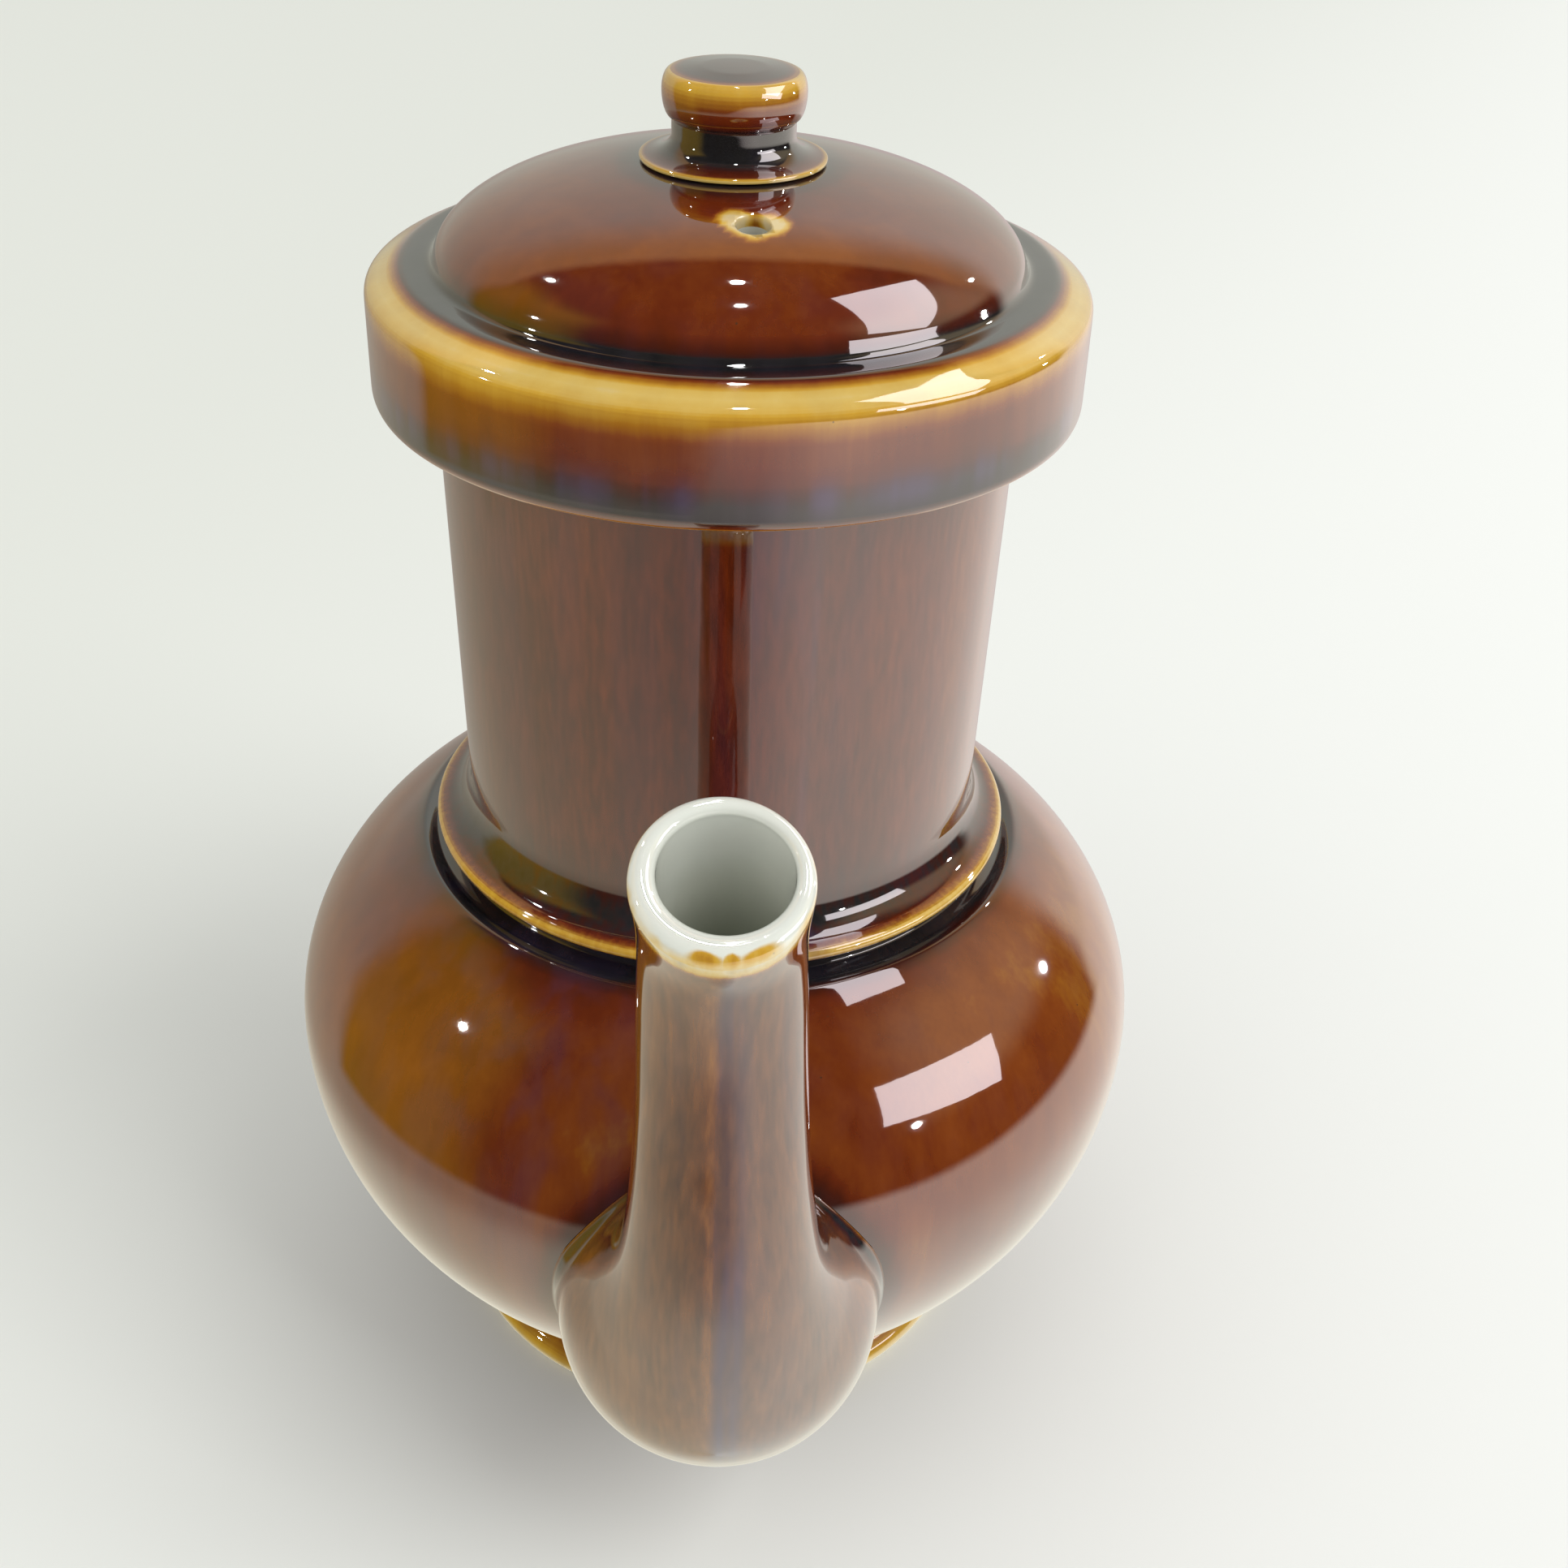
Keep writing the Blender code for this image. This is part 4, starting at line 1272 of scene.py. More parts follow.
    def glaze(self, vertices: Array, outline: Array, roots: Array) -> dict[str, Array]:
        """Depth, whiteness and bloom, darker in the crease round each luted root and painted
        lighter on the right side, where the light falls.

        Args:
            vertices: rows of (x, y, z).
            outline: the pot's outline as (radius, height).
            roots: points of the seams of spout and handle.

        Returns:
            Per-vertex numbers by attribute name.
        """
        depth, white = glaze_at(outline, False, self.stops(), vertices)
        above = np.abs(self.belly.share(vertices) - 1)
        close = np.flatnonzero((white < 0.5) & (above < self.root_margin))
        gaps = [
            np.sqrt(((part[:, None] - roots[None]) ** 2).sum(axis=2)).min(axis=1)
            for part in chunks(vertices[close])
        ]
        gap = np.concatenate(gaps)
        depth[close] += self.crease_depth * bell(gap, 0, self.crease_width)
        depth[close] -= self.ridge_depth * bell(gap, self.ridge_place, self.ridge_width)
        # Painted light: the brown is made lighter towards +x, where the light falls.
        depth -= np.interp(vertices[:, 0], self.painted_light_side, (0, self.painted_light_lift)) * (1 - white)
        violet = bell(vertices[:, 0], self.violet_place, self.violet_width)
        bloom_and_painted_light = self.bloom_and_painted_light + self.violet_bloom_and_painted_reflection * violet
        return {"depth": depth, "white": white, "bloom_and_painted_light": bloom_and_painted_light}

    def build(
        self, finishes: dict[str, bpy.types.Material], roots: Array
    ) -> bpy.types.Object:
        """Make the pot's body and pierce the wall behind the spout."""
        outline = softened(self.outline(), False, self.rounding)
        piece = link("pot_glazed", make_mesh("pot_glazed", *spun(outline, False)))
        at = hole_rings(self.hole_pitch, 0, 1)
        back = -self.belly.radius_at(self.hole_height) + self.wall / 2
        places = np.column_stack(
            (at[:, 0], np.full(len(at), back), self.hole_height + at[:, 1])
        )
        lean = Matrix.Rotation(math.pi / 2, 4, "X")
        pierced(piece, hole_cutter(places, self.hole_radius, self.wall, lean))
        vertices = places_of(piece.data)
        made = finished(
            piece,
            self.glaze(vertices, outline, roots),
            [finishes["brown"], finishes["clay"]],
            ("pot_body",),
            Body.POT,
        )
        self.bare_foot(made.data)
        return made

    def bare_foot(self, mesh: bpy.types.Mesh) -> None:
        """Give the foot's resting face the bare clay."""
        centres = np.empty(len(mesh.polygons) * 3, np.float32)
        mesh.polygons.foreach_get("center", centres)
        low = centres.reshape(-1, 3)[:, 2] < self.foot_edge / 6
        mesh.polygons.foreach_set("material_index", low.astype(np.int32))
        mesh.update()


@dataclass(frozen=True)
class DripChamber:
    """Upper storey: spigot in the pot's mouth, flange, tapered wall and hidden rim."""

    pot: Pot = Pot()
    spigot_clearance: float = 0.0010
    spigot_depth: float = 0.0135
    flange_overhang: float = 0.0025
    flange: float = 0.0022
    inset: float = 0.0062
    spread: float = 0.0018
    tall: float = 0.0923
    flare: float = 0.0065
    wall: float = 0.0038
    rim_height: float = 0.0140
    rim_flare: float = 0.0045
    rim_round: float = 0.0012
    rebate: float = 0.0050
    sieve_lip: float = 0.0030
    sieve_lip_height: float = 0.0022
    spreader_rim: float = 0.0024
    rounding: Rounding = Rounding(0.00040, 0.0019, math.radians(8))
    # The next two fields paint light: the brown turns lighter towards +x, the side the light comes
    # from.
    painted_light_side: tuple = (0.004, 0.034)
    painted_light_lift: float = 0.06
    bloom_and_painted_light: float = 0.08
    # The next three fields paint a dark reflection: a narrow violet stripe down the chamber's
    # front, on the -y side.
    violet_place: float = 0.010
    violet_width: float = 0.006
    violet_bloom_and_painted_reflection: float = 0.60

    @property
    def flange_radius(self) -> float:
        """Outer radius of the flange."""
        return self.pot.neck + self.flange_overhang

    @property
    def flange_foot(self) -> float:
        """Height of the flange's underside."""
        return self.pot.height + GAP

    @property
    def foot_radius(self) -> float:
        """Outer radius of the wall at its foot."""
        return self.flange_radius - self.inset

    @property
    def top_radius(self) -> float:
        """Outer radius of the wall under the lid."""
        return self.foot_radius + self.spread

    @property
    def spigot_foot(self) -> float:
        """Height of the spigot's lower end."""
        return self.flange_foot - self.spigot_depth

    @property
    def spigot_bore(self) -> float:
        """Inner radius of the spigot."""
        return self.pot.mouth - self.spigot_clearance - self.wall

    @property
    def rim(self) -> float:
        """Height of the chamber's rim."""
        return self.flange_foot + self.flange + self.tall

    @property
    def bore(self) -> float:
        """Inner radius of the wall at its top."""
        return self.top_radius - self.wall

    @property
    def rebate_floor(self) -> float:
        """Height of the ledge that the spreader hangs on."""
        return self.rim - self.spreader_rim - 2 * GAP

    def outline(self) -> Array:
        """Outline of the wall, once round: outside upwards, inside downwards."""
        top = self.flange_foot + self.flange
        foot, half = top + self.flare, self.flange / 2
        hollow = self.flange_radius - half
        spigot = self.pot.mouth - self.spigot_clearance
        rim_foot, lip = self.rim - self.rim_height, self.rim_round
        outer = self.top_radius + self.rim_flare
        sweep = (hollow - self.foot_radius, self.flare)
        return joined(
            (self.spigot_bore - self.sieve_lip, self.spigot_foot),
            (spigot, self.spigot_foot),
            (spigot, self.flange_foot),
            arc((hollow, self.flange_foot + half), (half, half), -90, 90, 12),
            arc((hollow, foot), sweep, 270, 180, 16)[1:],
            (self.top_radius, rim_foot),
            arc((outer, rim_foot), (self.rim_flare, self.rim_height / 2), 180, 90, 12)[1:],
            arc((outer - lip, self.rim - lip), (lip, lip), 0, 90, 8),
            (self.bore + self.rebate, self.rim),
            (self.bore + self.rebate, self.rebate_floor),
            (self.bore, self.rebate_floor),
            (self.foot_radius - self.wall, foot),
            (self.spigot_bore, self.flange_foot),
            (self.spigot_bore, self.spigot_foot + self.sieve_lip_height),
            (self.spigot_bore - self.sieve_lip, self.spigot_foot + self.sieve_lip_height),
        )

    def stops(self) -> tuple:
        """Glaze along the outline: light flange edge, dark fillet of pooled glaze darkened further
        as a painted dark reflection, white spigot and inside.
        """
        flange, low = self.flange_radius, self.flange_foot
        top = low + self.flange
        inside = self.foot_radius - self.wall
        return (
            (self.spigot_bore, self.spigot_foot, 0.2, 1),
            (self.pot.mouth - self.spigot_clearance, low - 0.0030, 0.2, 1),
            (self.pot.mouth - self.spigot_clearance, low - 0.0012, 0.3, 0),
            (flange - 0.0024, low, 0.62, 0),
            (flange - 0.0003, low + 0.0004, 0.50, 0),
            (flange, low + 0.0010, 0.24, 0),
            (flange - 0.0003, top - 0.0004, 0.20, 0),
            (flange - 0.0014, top, 0.42, 0),
            # Partly painted reflection: glaze pools in the flare above the flange, and it is made
            # darker still to paint the dark room that the concave flare mirrors.
            (flange - 0.0030, top + 0.0003, 0.80, 0),
            (self.foot_radius + 0.0010, top + 0.0028, 0.95, 0),
            (self.foot_radius, top + 0.0070, 0.78, 0),
            (self.foot_radius + 0.0003, top + 0.0140, 0.68, 0),
            (self.top_radius, self.rim - self.rim_height, 0.66, 0),
            (self.top_radius + self.rim_flare, self.rim - 0.0030, 0.50, 0),
            (self.top_radius + self.rim_flare - 0.0010, self.rim, 0.16, 0.2),
            (self.bore + self.rebate, self.rim - 0.0004, 0.2, 1),
            (inside, top + self.flare, 0.2, 1),
        )

    def build(self, finishes: dict[str, bpy.types.Material]) -> bpy.types.Object:
        """Make the chamber as one ring-shaped wall."""
        outline = softened(self.outline(), True, self.rounding)
        mesh = make_mesh("drip_chamber_glazed", *spun(outline, True))
        vertices = places_of(mesh)
        depth, white = glaze_at(outline, True, self.stops(), vertices)
        across, front = vertices[:, 0], vertices[:, 1] < 0
        # Painted light: the brown is made lighter towards +x, where the light falls.
        depth -= np.interp(across, self.painted_light_side, (0, self.painted_light_lift)) * (1 - white)
        # Painted reflection: a narrow dark violet stripe down the front of the chamber.
        violet = bell(across, self.violet_place, self.violet_width) * front
        bloom_and_painted_light = self.bloom_and_painted_light + self.violet_bloom_and_painted_reflection * violet
        return finished(
            link("drip_chamber_glazed", mesh),
            {"depth": depth, "white": white, "bloom_and_painted_light": bloom_and_painted_light},
            [finishes["tall"]],
            ("filter_chamber",),
            Body.FILTER,
        )


@dataclass(frozen=True)
class Sieve:
    """Pierced plate on the lip inside the chamber's spigot."""

    chamber: DripChamber = DripChamber()
    thickness: float = 0.0030
    hole_radius: float = 0.0014
    hole_pitch: float = 0.0100
    hole_rings: int = 3
    pin_share: float = 0.62
    rounding: Rounding = Rounding(0.0003, 0.0024, math.radians(12))
    turns: int = 96

    def build(self, finishes: dict[str, bpy.types.Material]) -> bpy.types.Object:
        """Make the plate and pierce it."""
        low = self.chamber.spigot_foot + self.chamber.sieve_lip_height + GAP
        radius = self.chamber.spigot_bore - GAP
        high = low + self.thickness
        corners = joined((0, low), (radius, low), (radius, high), (0, high))
        outline = softened(corners, False, self.rounding)
        mesh = make_mesh("sieve_glazed", *spun(outline, False, self.turns))
        piece = link("sieve_glazed", mesh)
        at = hole_rings(self.hole_pitch, 0, self.hole_rings)
        places = np.column_stack((at, np.full(len(at), (low + high) / 2)))
        reach = self.thickness * self.pin_share
        pierced(piece, hole_cutter(places, self.hole_radius, reach, Matrix()))
        values = all_white(piece)
        nodes = ("filter_sieve",)
        return finished(piece, values, [finishes["white"]], nodes, Body.FILTER)


@dataclass(frozen=True)
class WaterSpreader:
    """Dish with a pierced floor that hangs in the chamber's rebate."""

    chamber: DripChamber = DripChamber()
    deep: float = 0.0210
    wall: float = 0.0028
    clearance: float = 0.0008
    taper: float = 0.0030
    corner: float = 0.0050
    hole_radius: float = 0.0013
    hole_pitch: float = 0.0092
    first_ring: int = 2
    last_ring: int = 3
    pin_share: float = 0.62
    rounding: Rounding = Rounding(0.0003, 0.0022, math.radians(12))
    turns: int = 120

    @property
    def seat(self) -> float:
        """Height of the rim's underside."""
        return self.chamber.rebate_floor + GAP

    @property
    def floor(self) -> float:
        """Height of the dish's floor."""
        return self.seat - self.deep + self.wall

    def build(self, finishes: dict[str, bpy.types.Material]) -> bpy.types.Object:
        """Make the dish and pierce its floor."""
        rim = self.chamber.bore + self.chamber.rebate - self.clearance
        side = self.chamber.bore - self.clearance
        foot, low = side - self.taper, self.floor - self.wall
        high, corner = self.seat + self.chamber.spreader_rim, self.corner
        inner, turn = foot - self.wall, corner - self.wall / 2
        corners = joined(
            (0, low),
            arc((foot - corner, low + corner), (corner, corner), -90, 0, 12),
            (side, self.seat),
            (rim, self.seat),
            (rim, high),
            (side - self.wall, high),
            arc((inner - turn, self.floor + turn), (turn, turn), 0, -90, 12),
            (0, self.floor),
        )
        outline = softened(corners, False, self.rounding)
        mesh = make_mesh("water_spreader_glazed", *spun(outline, False, self.turns))
        piece = link("water_spreader_glazed", mesh)
        at = hole_rings(self.hole_pitch, self.first_ring, self.last_ring)
        places = np.column_stack((at, np.full(len(at), self.floor - self.wall / 2)))
        reach = self.wall * self.pin_share
        pierced(piece, hole_cutter(places, self.hole_radius, reach, Matrix()))
        values = all_white(piece)
        nodes = ("water_spreader",)
        return finished(piece, values, [finishes["white"]], nodes, Body.SPREADER)


@dataclass(frozen=True)
class SpreaderKnob:
    """Small mushroom knob in the middle of the spreader's floor."""

    spreader: WaterSpreader = WaterSpreader()
    radius: float = 0.0080
    neck: float = 0.0042
    tall: float = 0.0160
    rounding: Rounding = Rounding(0.0003, 0.0008, math.radians(8))
    turns: int = 96

    def build(self, finishes: dict[str, bpy.types.Material]) -> bpy.types.Object:
        """Make the knob."""
        low = self.spreader.floor + GAP
        head, top = self.tall / 4, low + self.tall
        corners = joined(
            (0, low),
            (self.radius, low),
            arc((self.radius, low + head), (self.radius - self.neck, head), 260, 180, 16),
            arc((0, top - head), (self.radius, head), -40, 90, 30),
        )
        outline = softened(corners, False, self.rounding)
        mesh = make_mesh("spreader_knob_glazed", *spun(outline, False, self.turns))
        piece = link("spreader_knob_glazed", mesh)
        values = all_white(piece)
        nodes = ("spreader_knob",)
        return finished(piece, values, [finishes["white"]], nodes, Body.SPREADER)


@dataclass(frozen=True)
class Lid:
    """Cap lid: dome, ledge, falling crest with a rounded edge, skirt and vent hole."""

    chamber: DripChamber = DripChamber()
    clearance: float = 0.00075
    skirt_wall: float = 0.00425
    skirt_drop: float = 0.0162
    skirt_tuck: float = 0.0005
    skirt_ease: float = 0.0012
    ledge: float = 0.0036
    ledge_width: float = 0.0103
    crest_width: float = 0.0056
    crest_fall: float = 0.0040
    crest_round: float = 0.0020
    crest_slope: float = 26.0
    dome_height: float = 0.0153
    dome_wall: float = 0.0040
    ledge_round: float = 0.0010
    vent_radius: float = 0.0025
    vent_place: float = 0.0250
    vent_turn: float = math.radians(5.8)
    vent_break: float = 0.0011
    vent_squash: float = 0.6
    vent_waves: tuple = ((0.0009, 2, 1.9), (0.0006, 3, 0.4))
    vent_depths: tuple = ((-0.0004, 0.0004, 0.0018), (0.05, 0.22, 1))
    pin_share: float = 0.66
    bloom_and_painted_light: float = 0.06
    band_place: float = 0.0046
    band_width: float = 0.0022
    band_bloom: float = 0.75
    rounding: Rounding = Rounding(0.00045, 0.0014, math.radians(7))

    @property
    def seat(self) -> float:
        """Height of the face that rests on the chamber's rim."""
        return self.chamber.rim + GAP

    @property
    def top(self) -> float:
        """Height of the ledge round the dome."""
        return self.seat + self.ledge

    @property
    def bore(self) -> float:
        """Inner radius of the skirt."""
        return self.chamber.top_radius + self.chamber.rim_flare + self.clearance

    @property
    def radius(self) -> float:
        """Outer radius of the skirt."""
        return self.bore + self.skirt_wall

    @property
    def dome(self) -> float:
        """Radius of the dome at its foot."""
        return self.radius - self.ledge_width

    def dome_at(self, radius: float) -> float:
        """Height of the dome at a radius: top + height * sqrt(1 - (r / dome)^2)."""
        return self.top + self.dome_height * math.sqrt(1 - (radius / self.dome) ** 2)

    def outline(self) -> Array:
        """Outline from the top of the dome, down the outside and up the hollow."""
        top, foot, edge = self.top, self.seat - self.skirt_drop, self.crest_round
        hollow, bend = self.dome - self.dome_wall, self.ledge_round
        crest = (self.radius - edge, top - self.crest_fall)
        roof = self.dome_height - self.dome_wall
        return joined(
            arc((0, top), (self.dome, self.dome_height), 90, 4, 90),
            arc((self.dome + bend, top + bend), (bend, bend), 200, 270, 8),
            (self.radius - self.crest_width, top),
            arc(crest, (edge, edge), 90 - self.crest_slope, 0, 10),
            (self.radius, foot + self.skirt_ease),
            (self.radius - self.skirt_tuck, foot),
            (self.bore, foot),
            (self.bore, self.seat),
            (hollow + bend, self.seat),
            arc((0, top), (hollow, roof), 0, 90, 60),
        )

    def stops(self) -> tuple:
        """Glaze along the outline: dark ledge, amber crest, dark low skirt, white hollow."""
        top, wide = self.top, self.radius
        foot = self.seat - self.skirt_drop
        start = wide - self.crest_width
        return (
            (0.0120, self.dome_at(0.0120), 0.92, 0),
            (0.0146, self.dome_at(0.0146), 0.86, 0),
            (0.0185, self.dome_at(0.0185), 0.60, 0),
            (0.0300, self.dome_at(0.0300), 0.54, 0),
            (0.0437, self.dome_at(0.0437), 0.58, 0),
            (self.dome, top + 0.0017, 0.72, 0),
            (self.dome + 0.0002, top + 0.0008, 0.96, 0),
            (self.dome + 0.0012, top, 1.0, 0),
            (start - 0.0014, top, 1.0, 0),
            (start + 0.0002, top, 0.84, 0),
            (start + 0.0009, top - 0.0003, 0.40, 0),
            (start + 0.0017, top - 0.0008, 0.17, 0),
            (wide - 0.0024, top - 0.0016, 0.10, 0),
            (wide - 0.0009, top - 0.0028, 0.15, 0),
            (wide, top - 0.0040, 0.26, 0),
            (wide, top - 0.0056, 0.37, 0),
            (wide, top - 0.0076, 0.52, 0),
            (wide, top - 0.0105, 0.57, 0),
            (wide, foot + 0.0068, 0.64, 0),
            (wide, foot + 0.0044, 0.88, 0),
            (wide, foot + 0.0018, 0.97, 0),
            (wide - 0.0001, foot + 0.0009, 0.60, 0),
            (wide - 0.0006, foot + 0.0001, 0.14, 0),
            (wide - 0.0026, foot, 0.20, 0.3),
            (self.bore, foot + 0.0010, 0.2, 1),
            (0, self.top + self.dome_height - self.dome_wall, 0.2, 1),
        )

    def glaze(self, vertices: Array, outline: Array, vent: Array) -> dict[str, Array]:
        """Depth, whiteness and bloom, with a cream break round the vent hole.

        The break ends where the way from the vent is vent_radius + vent_break plus the
        sum of size * sin(count * turn + phase) over the rows of vent_waves.

        Args:
            vertices: rows of (x, y, z).
            outline: the lid's outline as (radius, height).
            vent: middle of the vent hole.

        Returns:
            Per-vertex numbers by attribute name.
        """
        depth, white = glaze_at(outline, False, self.stops(), vertices)
        away = np.linalg.norm((vertices - vent) * (1, 1, self.vent_squash), axis=1)
        turn = np.arctan2(vertices[:, 1] - vent[1], vertices[:, 0] - vent[0])
        wander = sum(size * np.sin(turn * count + phase) for size, count, phase in self.vent_waves)
        edge = away - self.vent_radius - self.vent_break - wander
        depth = np.minimum(depth, np.interp(edge, *self.vent_depths))
        foot = self.seat - self.skirt_drop
        band = bell(vertices[:, 2] - foot, self.band_place, self.band_width)
        outer = np.hypot(vertices[:, 0], vertices[:, 1]) > self.radius - self.skirt_tuck
        bloom_and_painted_light = self.bloom_and_painted_light + self.band_bloom * band * outer
        return {"depth": depth, "white": white, "bloom_and_painted_light": bloom_and_painted_light}

    def build(self, finishes: dict[str, bpy.types.Material]) -> bpy.types.Object:
        """Make the lid and pierce the vent hole square to the dome."""
        outline = softened(self.outline(), False, self.rounding)
        piece = link("lid_glazed", make_mesh("lid_glazed", *spun(outline, False)))
        rise = self.dome_at(self.vent_place) - self.top
        slope = Vector((0, -self.vent_place / self.dome**2, rise / self.dome_height**2))
        lean = Vector((0, 0, 1)).rotation_difference(slope.normalized()).to_matrix().to_4x4()
        turn = Matrix.Rotation(self.vent_turn, 4, "Z")
        vent = np.array(turn @ Vector((0, -self.vent_place, self.top + rise)))
        along = np.array((turn @ lean).to_3x3() @ Vector((0, 0, 1)))
        middle = (vent - along * self.dome_wall / 2)[None]
        reach = self.dome_wall * self.pin_share
        pierced(piece, hole_cutter(middle, self.vent_radius, reach, turn @ lean))
        vertices = places_of(piece.data)
        return finished(
            piece,
            self.glaze(vertices, outline, vent),
            [finishes["brown"]],
            ("lid_shell",),
            Body.LID,
        )


@dataclass(frozen=True)
class LidKnob:
    """Waisted knob whose foot spreads into a thin disc on the dome."""

    lid: Lid = Lid()
    disc: float = 0.0140
    disc_edge: float = 0.0007
    neck: float = 0.0092
    head: float = 0.01065
    top: float = 0.0095
    tall: float = 0.0125
    crown: float = 0.0006
    sweep_share: float = 0.24
    head_foot_share: float = 0.42
    widest_share: float = 0.73
    rounding: Rounding = Rounding(0.00022, 0.0005, math.radians(6))
    turns: int = 144
    bloom_and_painted_light: float = 0.1

    def levels(self) -> tuple[float, float, float, float]:
        """Heights of the disc's top, the head's foot, its widest place and its top."""
        disc = self.lid.dome_at(self.disc) + GAP + self.disc_edge
        foot = disc + self.tall * self.head_foot_share
        return disc, foot, disc + self.tall * self.widest_share, disc + self.tall

    def outline(self) -> Array:
        """Outline from the middle of the underside, up the outside to the crown."""
        disc, foot, widest, top = self.levels()
        under = np.linspace(0, self.disc, 30)
        seat = np.array([self.lid.dome_at(radius) + GAP for radius in under])
        sweep = self.tall * self.sweep_share
        belly = self.head - self.neck
        cap = self.head - self.top
        rise = top - self.crown - widest
        return joined(
            np.column_stack((under, seat)),
            arc((self.disc, disc + sweep), (self.disc - self.neck, sweep), 270, 180, 24),
            (self.neck, foot),
            arc((self.neck, widest), (belly, widest - foot), -70, 0, 20),
            arc((self.top, widest), (cap, rise), 0, 90, 16)[1:],
            arc((0, top - self.crown), (self.top, self.crown), 60, 90, 20),
        )

    def stops(self) -> tuple:
        """Glaze along the outline: tan seat edge, dark neck, amber shoulder, dark crown."""
        disc, foot, widest, top = self.levels()
        return (
            (self.disc - 0.0030, self.lid.dome_at(self.disc - 0.0030) + GAP, 0.5, 0),
            (self.disc, disc - 0.0005, 0.10, 0),
            (self.disc - 0.0004, disc + 0.0001, 0.22, 0),
            (self.disc - 0.0014, disc + 0.0002, 0.60, 0),
            (self.neck + 0.0012, disc + 0.0018, 0.97, 0),
            (self.neck, foot - 0.0006, 0.95, 0),
            (self.neck + 0.0005, foot + 0.0008, 0.66, 0),
            (self.head - 0.0001, widest - 0.0012, 0.55, 0),
            (self.head, widest + 0.0002, 0.36, 0),
            (self.head - 0.0003, widest + 0.0016, 0.19, 0),
            (self.top + 0.0002, top - 0.0008, 0.16, 0),
            (self.top - 0.0008, top - 0.0004, 0.62, 0),
            (self.top - 0.0018, top - 0.0003, 0.82, 0),
            (0, top, 0.76, 0),
        )

    def build(self, finishes: dict[str, bpy.types.Material]) -> bpy.types.Object:
        """Make the knob."""
        outline = softened(self.outline(), False, self.rounding)
        mesh = make_mesh("lid_knob_glazed", *spun(outline, False, self.turns))
        depth, white = glaze_at(outline, False, self.stops(), places_of(mesh))
        bloom_and_painted_light = np.full(len(depth), self.bloom_and_painted_light)
        values = {"depth": depth, "white": white, "bloom_and_painted_light": bloom_and_painted_light}
        return finished(
            link("lid_knob_glazed", mesh),
            values,
            [finishes["knob"]],
            ("lid_knob",),
            Body.LID,
        )


# Studio


@dataclass(frozen=True)
class Camera:
    """Camera above the spout, looking down on the pot."""

    distance: float = 0.2942
    height: float = 0.2984
    lens: float = 45.15
    yaw: float = 0.038
    pitch: float = 0.577
    roll: float = 0.040
    round_pot: float = math.radians(-0.9)
    sensor: float = 36.0

    def build(self) -> bpy.types.Object:
        """Make the camera and make it the scene's own."""
        data = bpy.data.cameras.new("camera")
        data.lens = self.lens
        data.sensor_width = self.sensor
        ahead = Vector(
            (
                math.sin(self.yaw) * math.cos(self.pitch),
                math.cos(self.yaw) * math.cos(self.pitch),
                -math.sin(self.pitch),
            )
        )
        level = Vector((math.cos(self.yaw), -math.sin(self.yaw), 0))
        above = level.cross(ahead)
        right = level * math.cos(self.roll) + above * math.sin(self.roll)
        up = above * math.cos(self.roll) - level * math.sin(self.roll)
        place = Matrix((right, up, -ahead)).transposed().to_4x4()
        place.translation = (0, -self.distance, self.height)
        made = bpy.data.objects.new("camera", data)
        made.matrix_world = Matrix.Rotation(self.round_pot, 4, "Z") @ place
        bpy.context.scene.collection.objects.link(made)
        bpy.context.scene.camera = made
        return made


@dataclass(frozen=True)
class Lamp:
    """Area lamp aimed at a place: it either lights the pot or only shows in the gloss."""

    name: str
    place: tuple
    size: tuple
    power: float
    aim: tuple = (0.0, 0.0, 0.12)
    colour: tuple = (1.0, 1.0, 1.0)
    spin: float = 0.0
    mirrored: bool = True
    round: bool = False

    def build(self) -> bpy.types.Object:
        """Make the lamp."""
        data = bpy.data.lights.new(self.name, "AREA")
        data.shape = "DISK" if self.round else "RECTANGLE"
        data.size = self.size[0]
        if not self.round:
            data.size_y = self.size[1]
        data.energy = self.power
        data.color = self.colour
        made = bpy.data.objects.new(self.name, data)
        ahead = Vector(self.aim) - Vector(self.place)
        turn = ahead.to_track_quat("-Z", "Y").to_matrix().to_4x4()
        turn = turn @ Matrix.Rotation(self.spin, 4, "Z")
        made.matrix_world = Matrix.Translation(self.place) @ turn
        made.visible_glossy = self.mirrored
        made.visible_diffuse = not self.mirrored
        made.visible_camera = False
        bpy.context.scene.collection.objects.link(made)
        return made


def dot(name: str, place: tuple, size: float = 0.026, power: float = 0.30) -> Lamp:
    """Small round lamp that shows as a bright dot in the gloss."""
    return Lamp(name, place, (size, size), power, round=True)


WINDOW_COLOUR = (1.0, 0.93, 0.97)


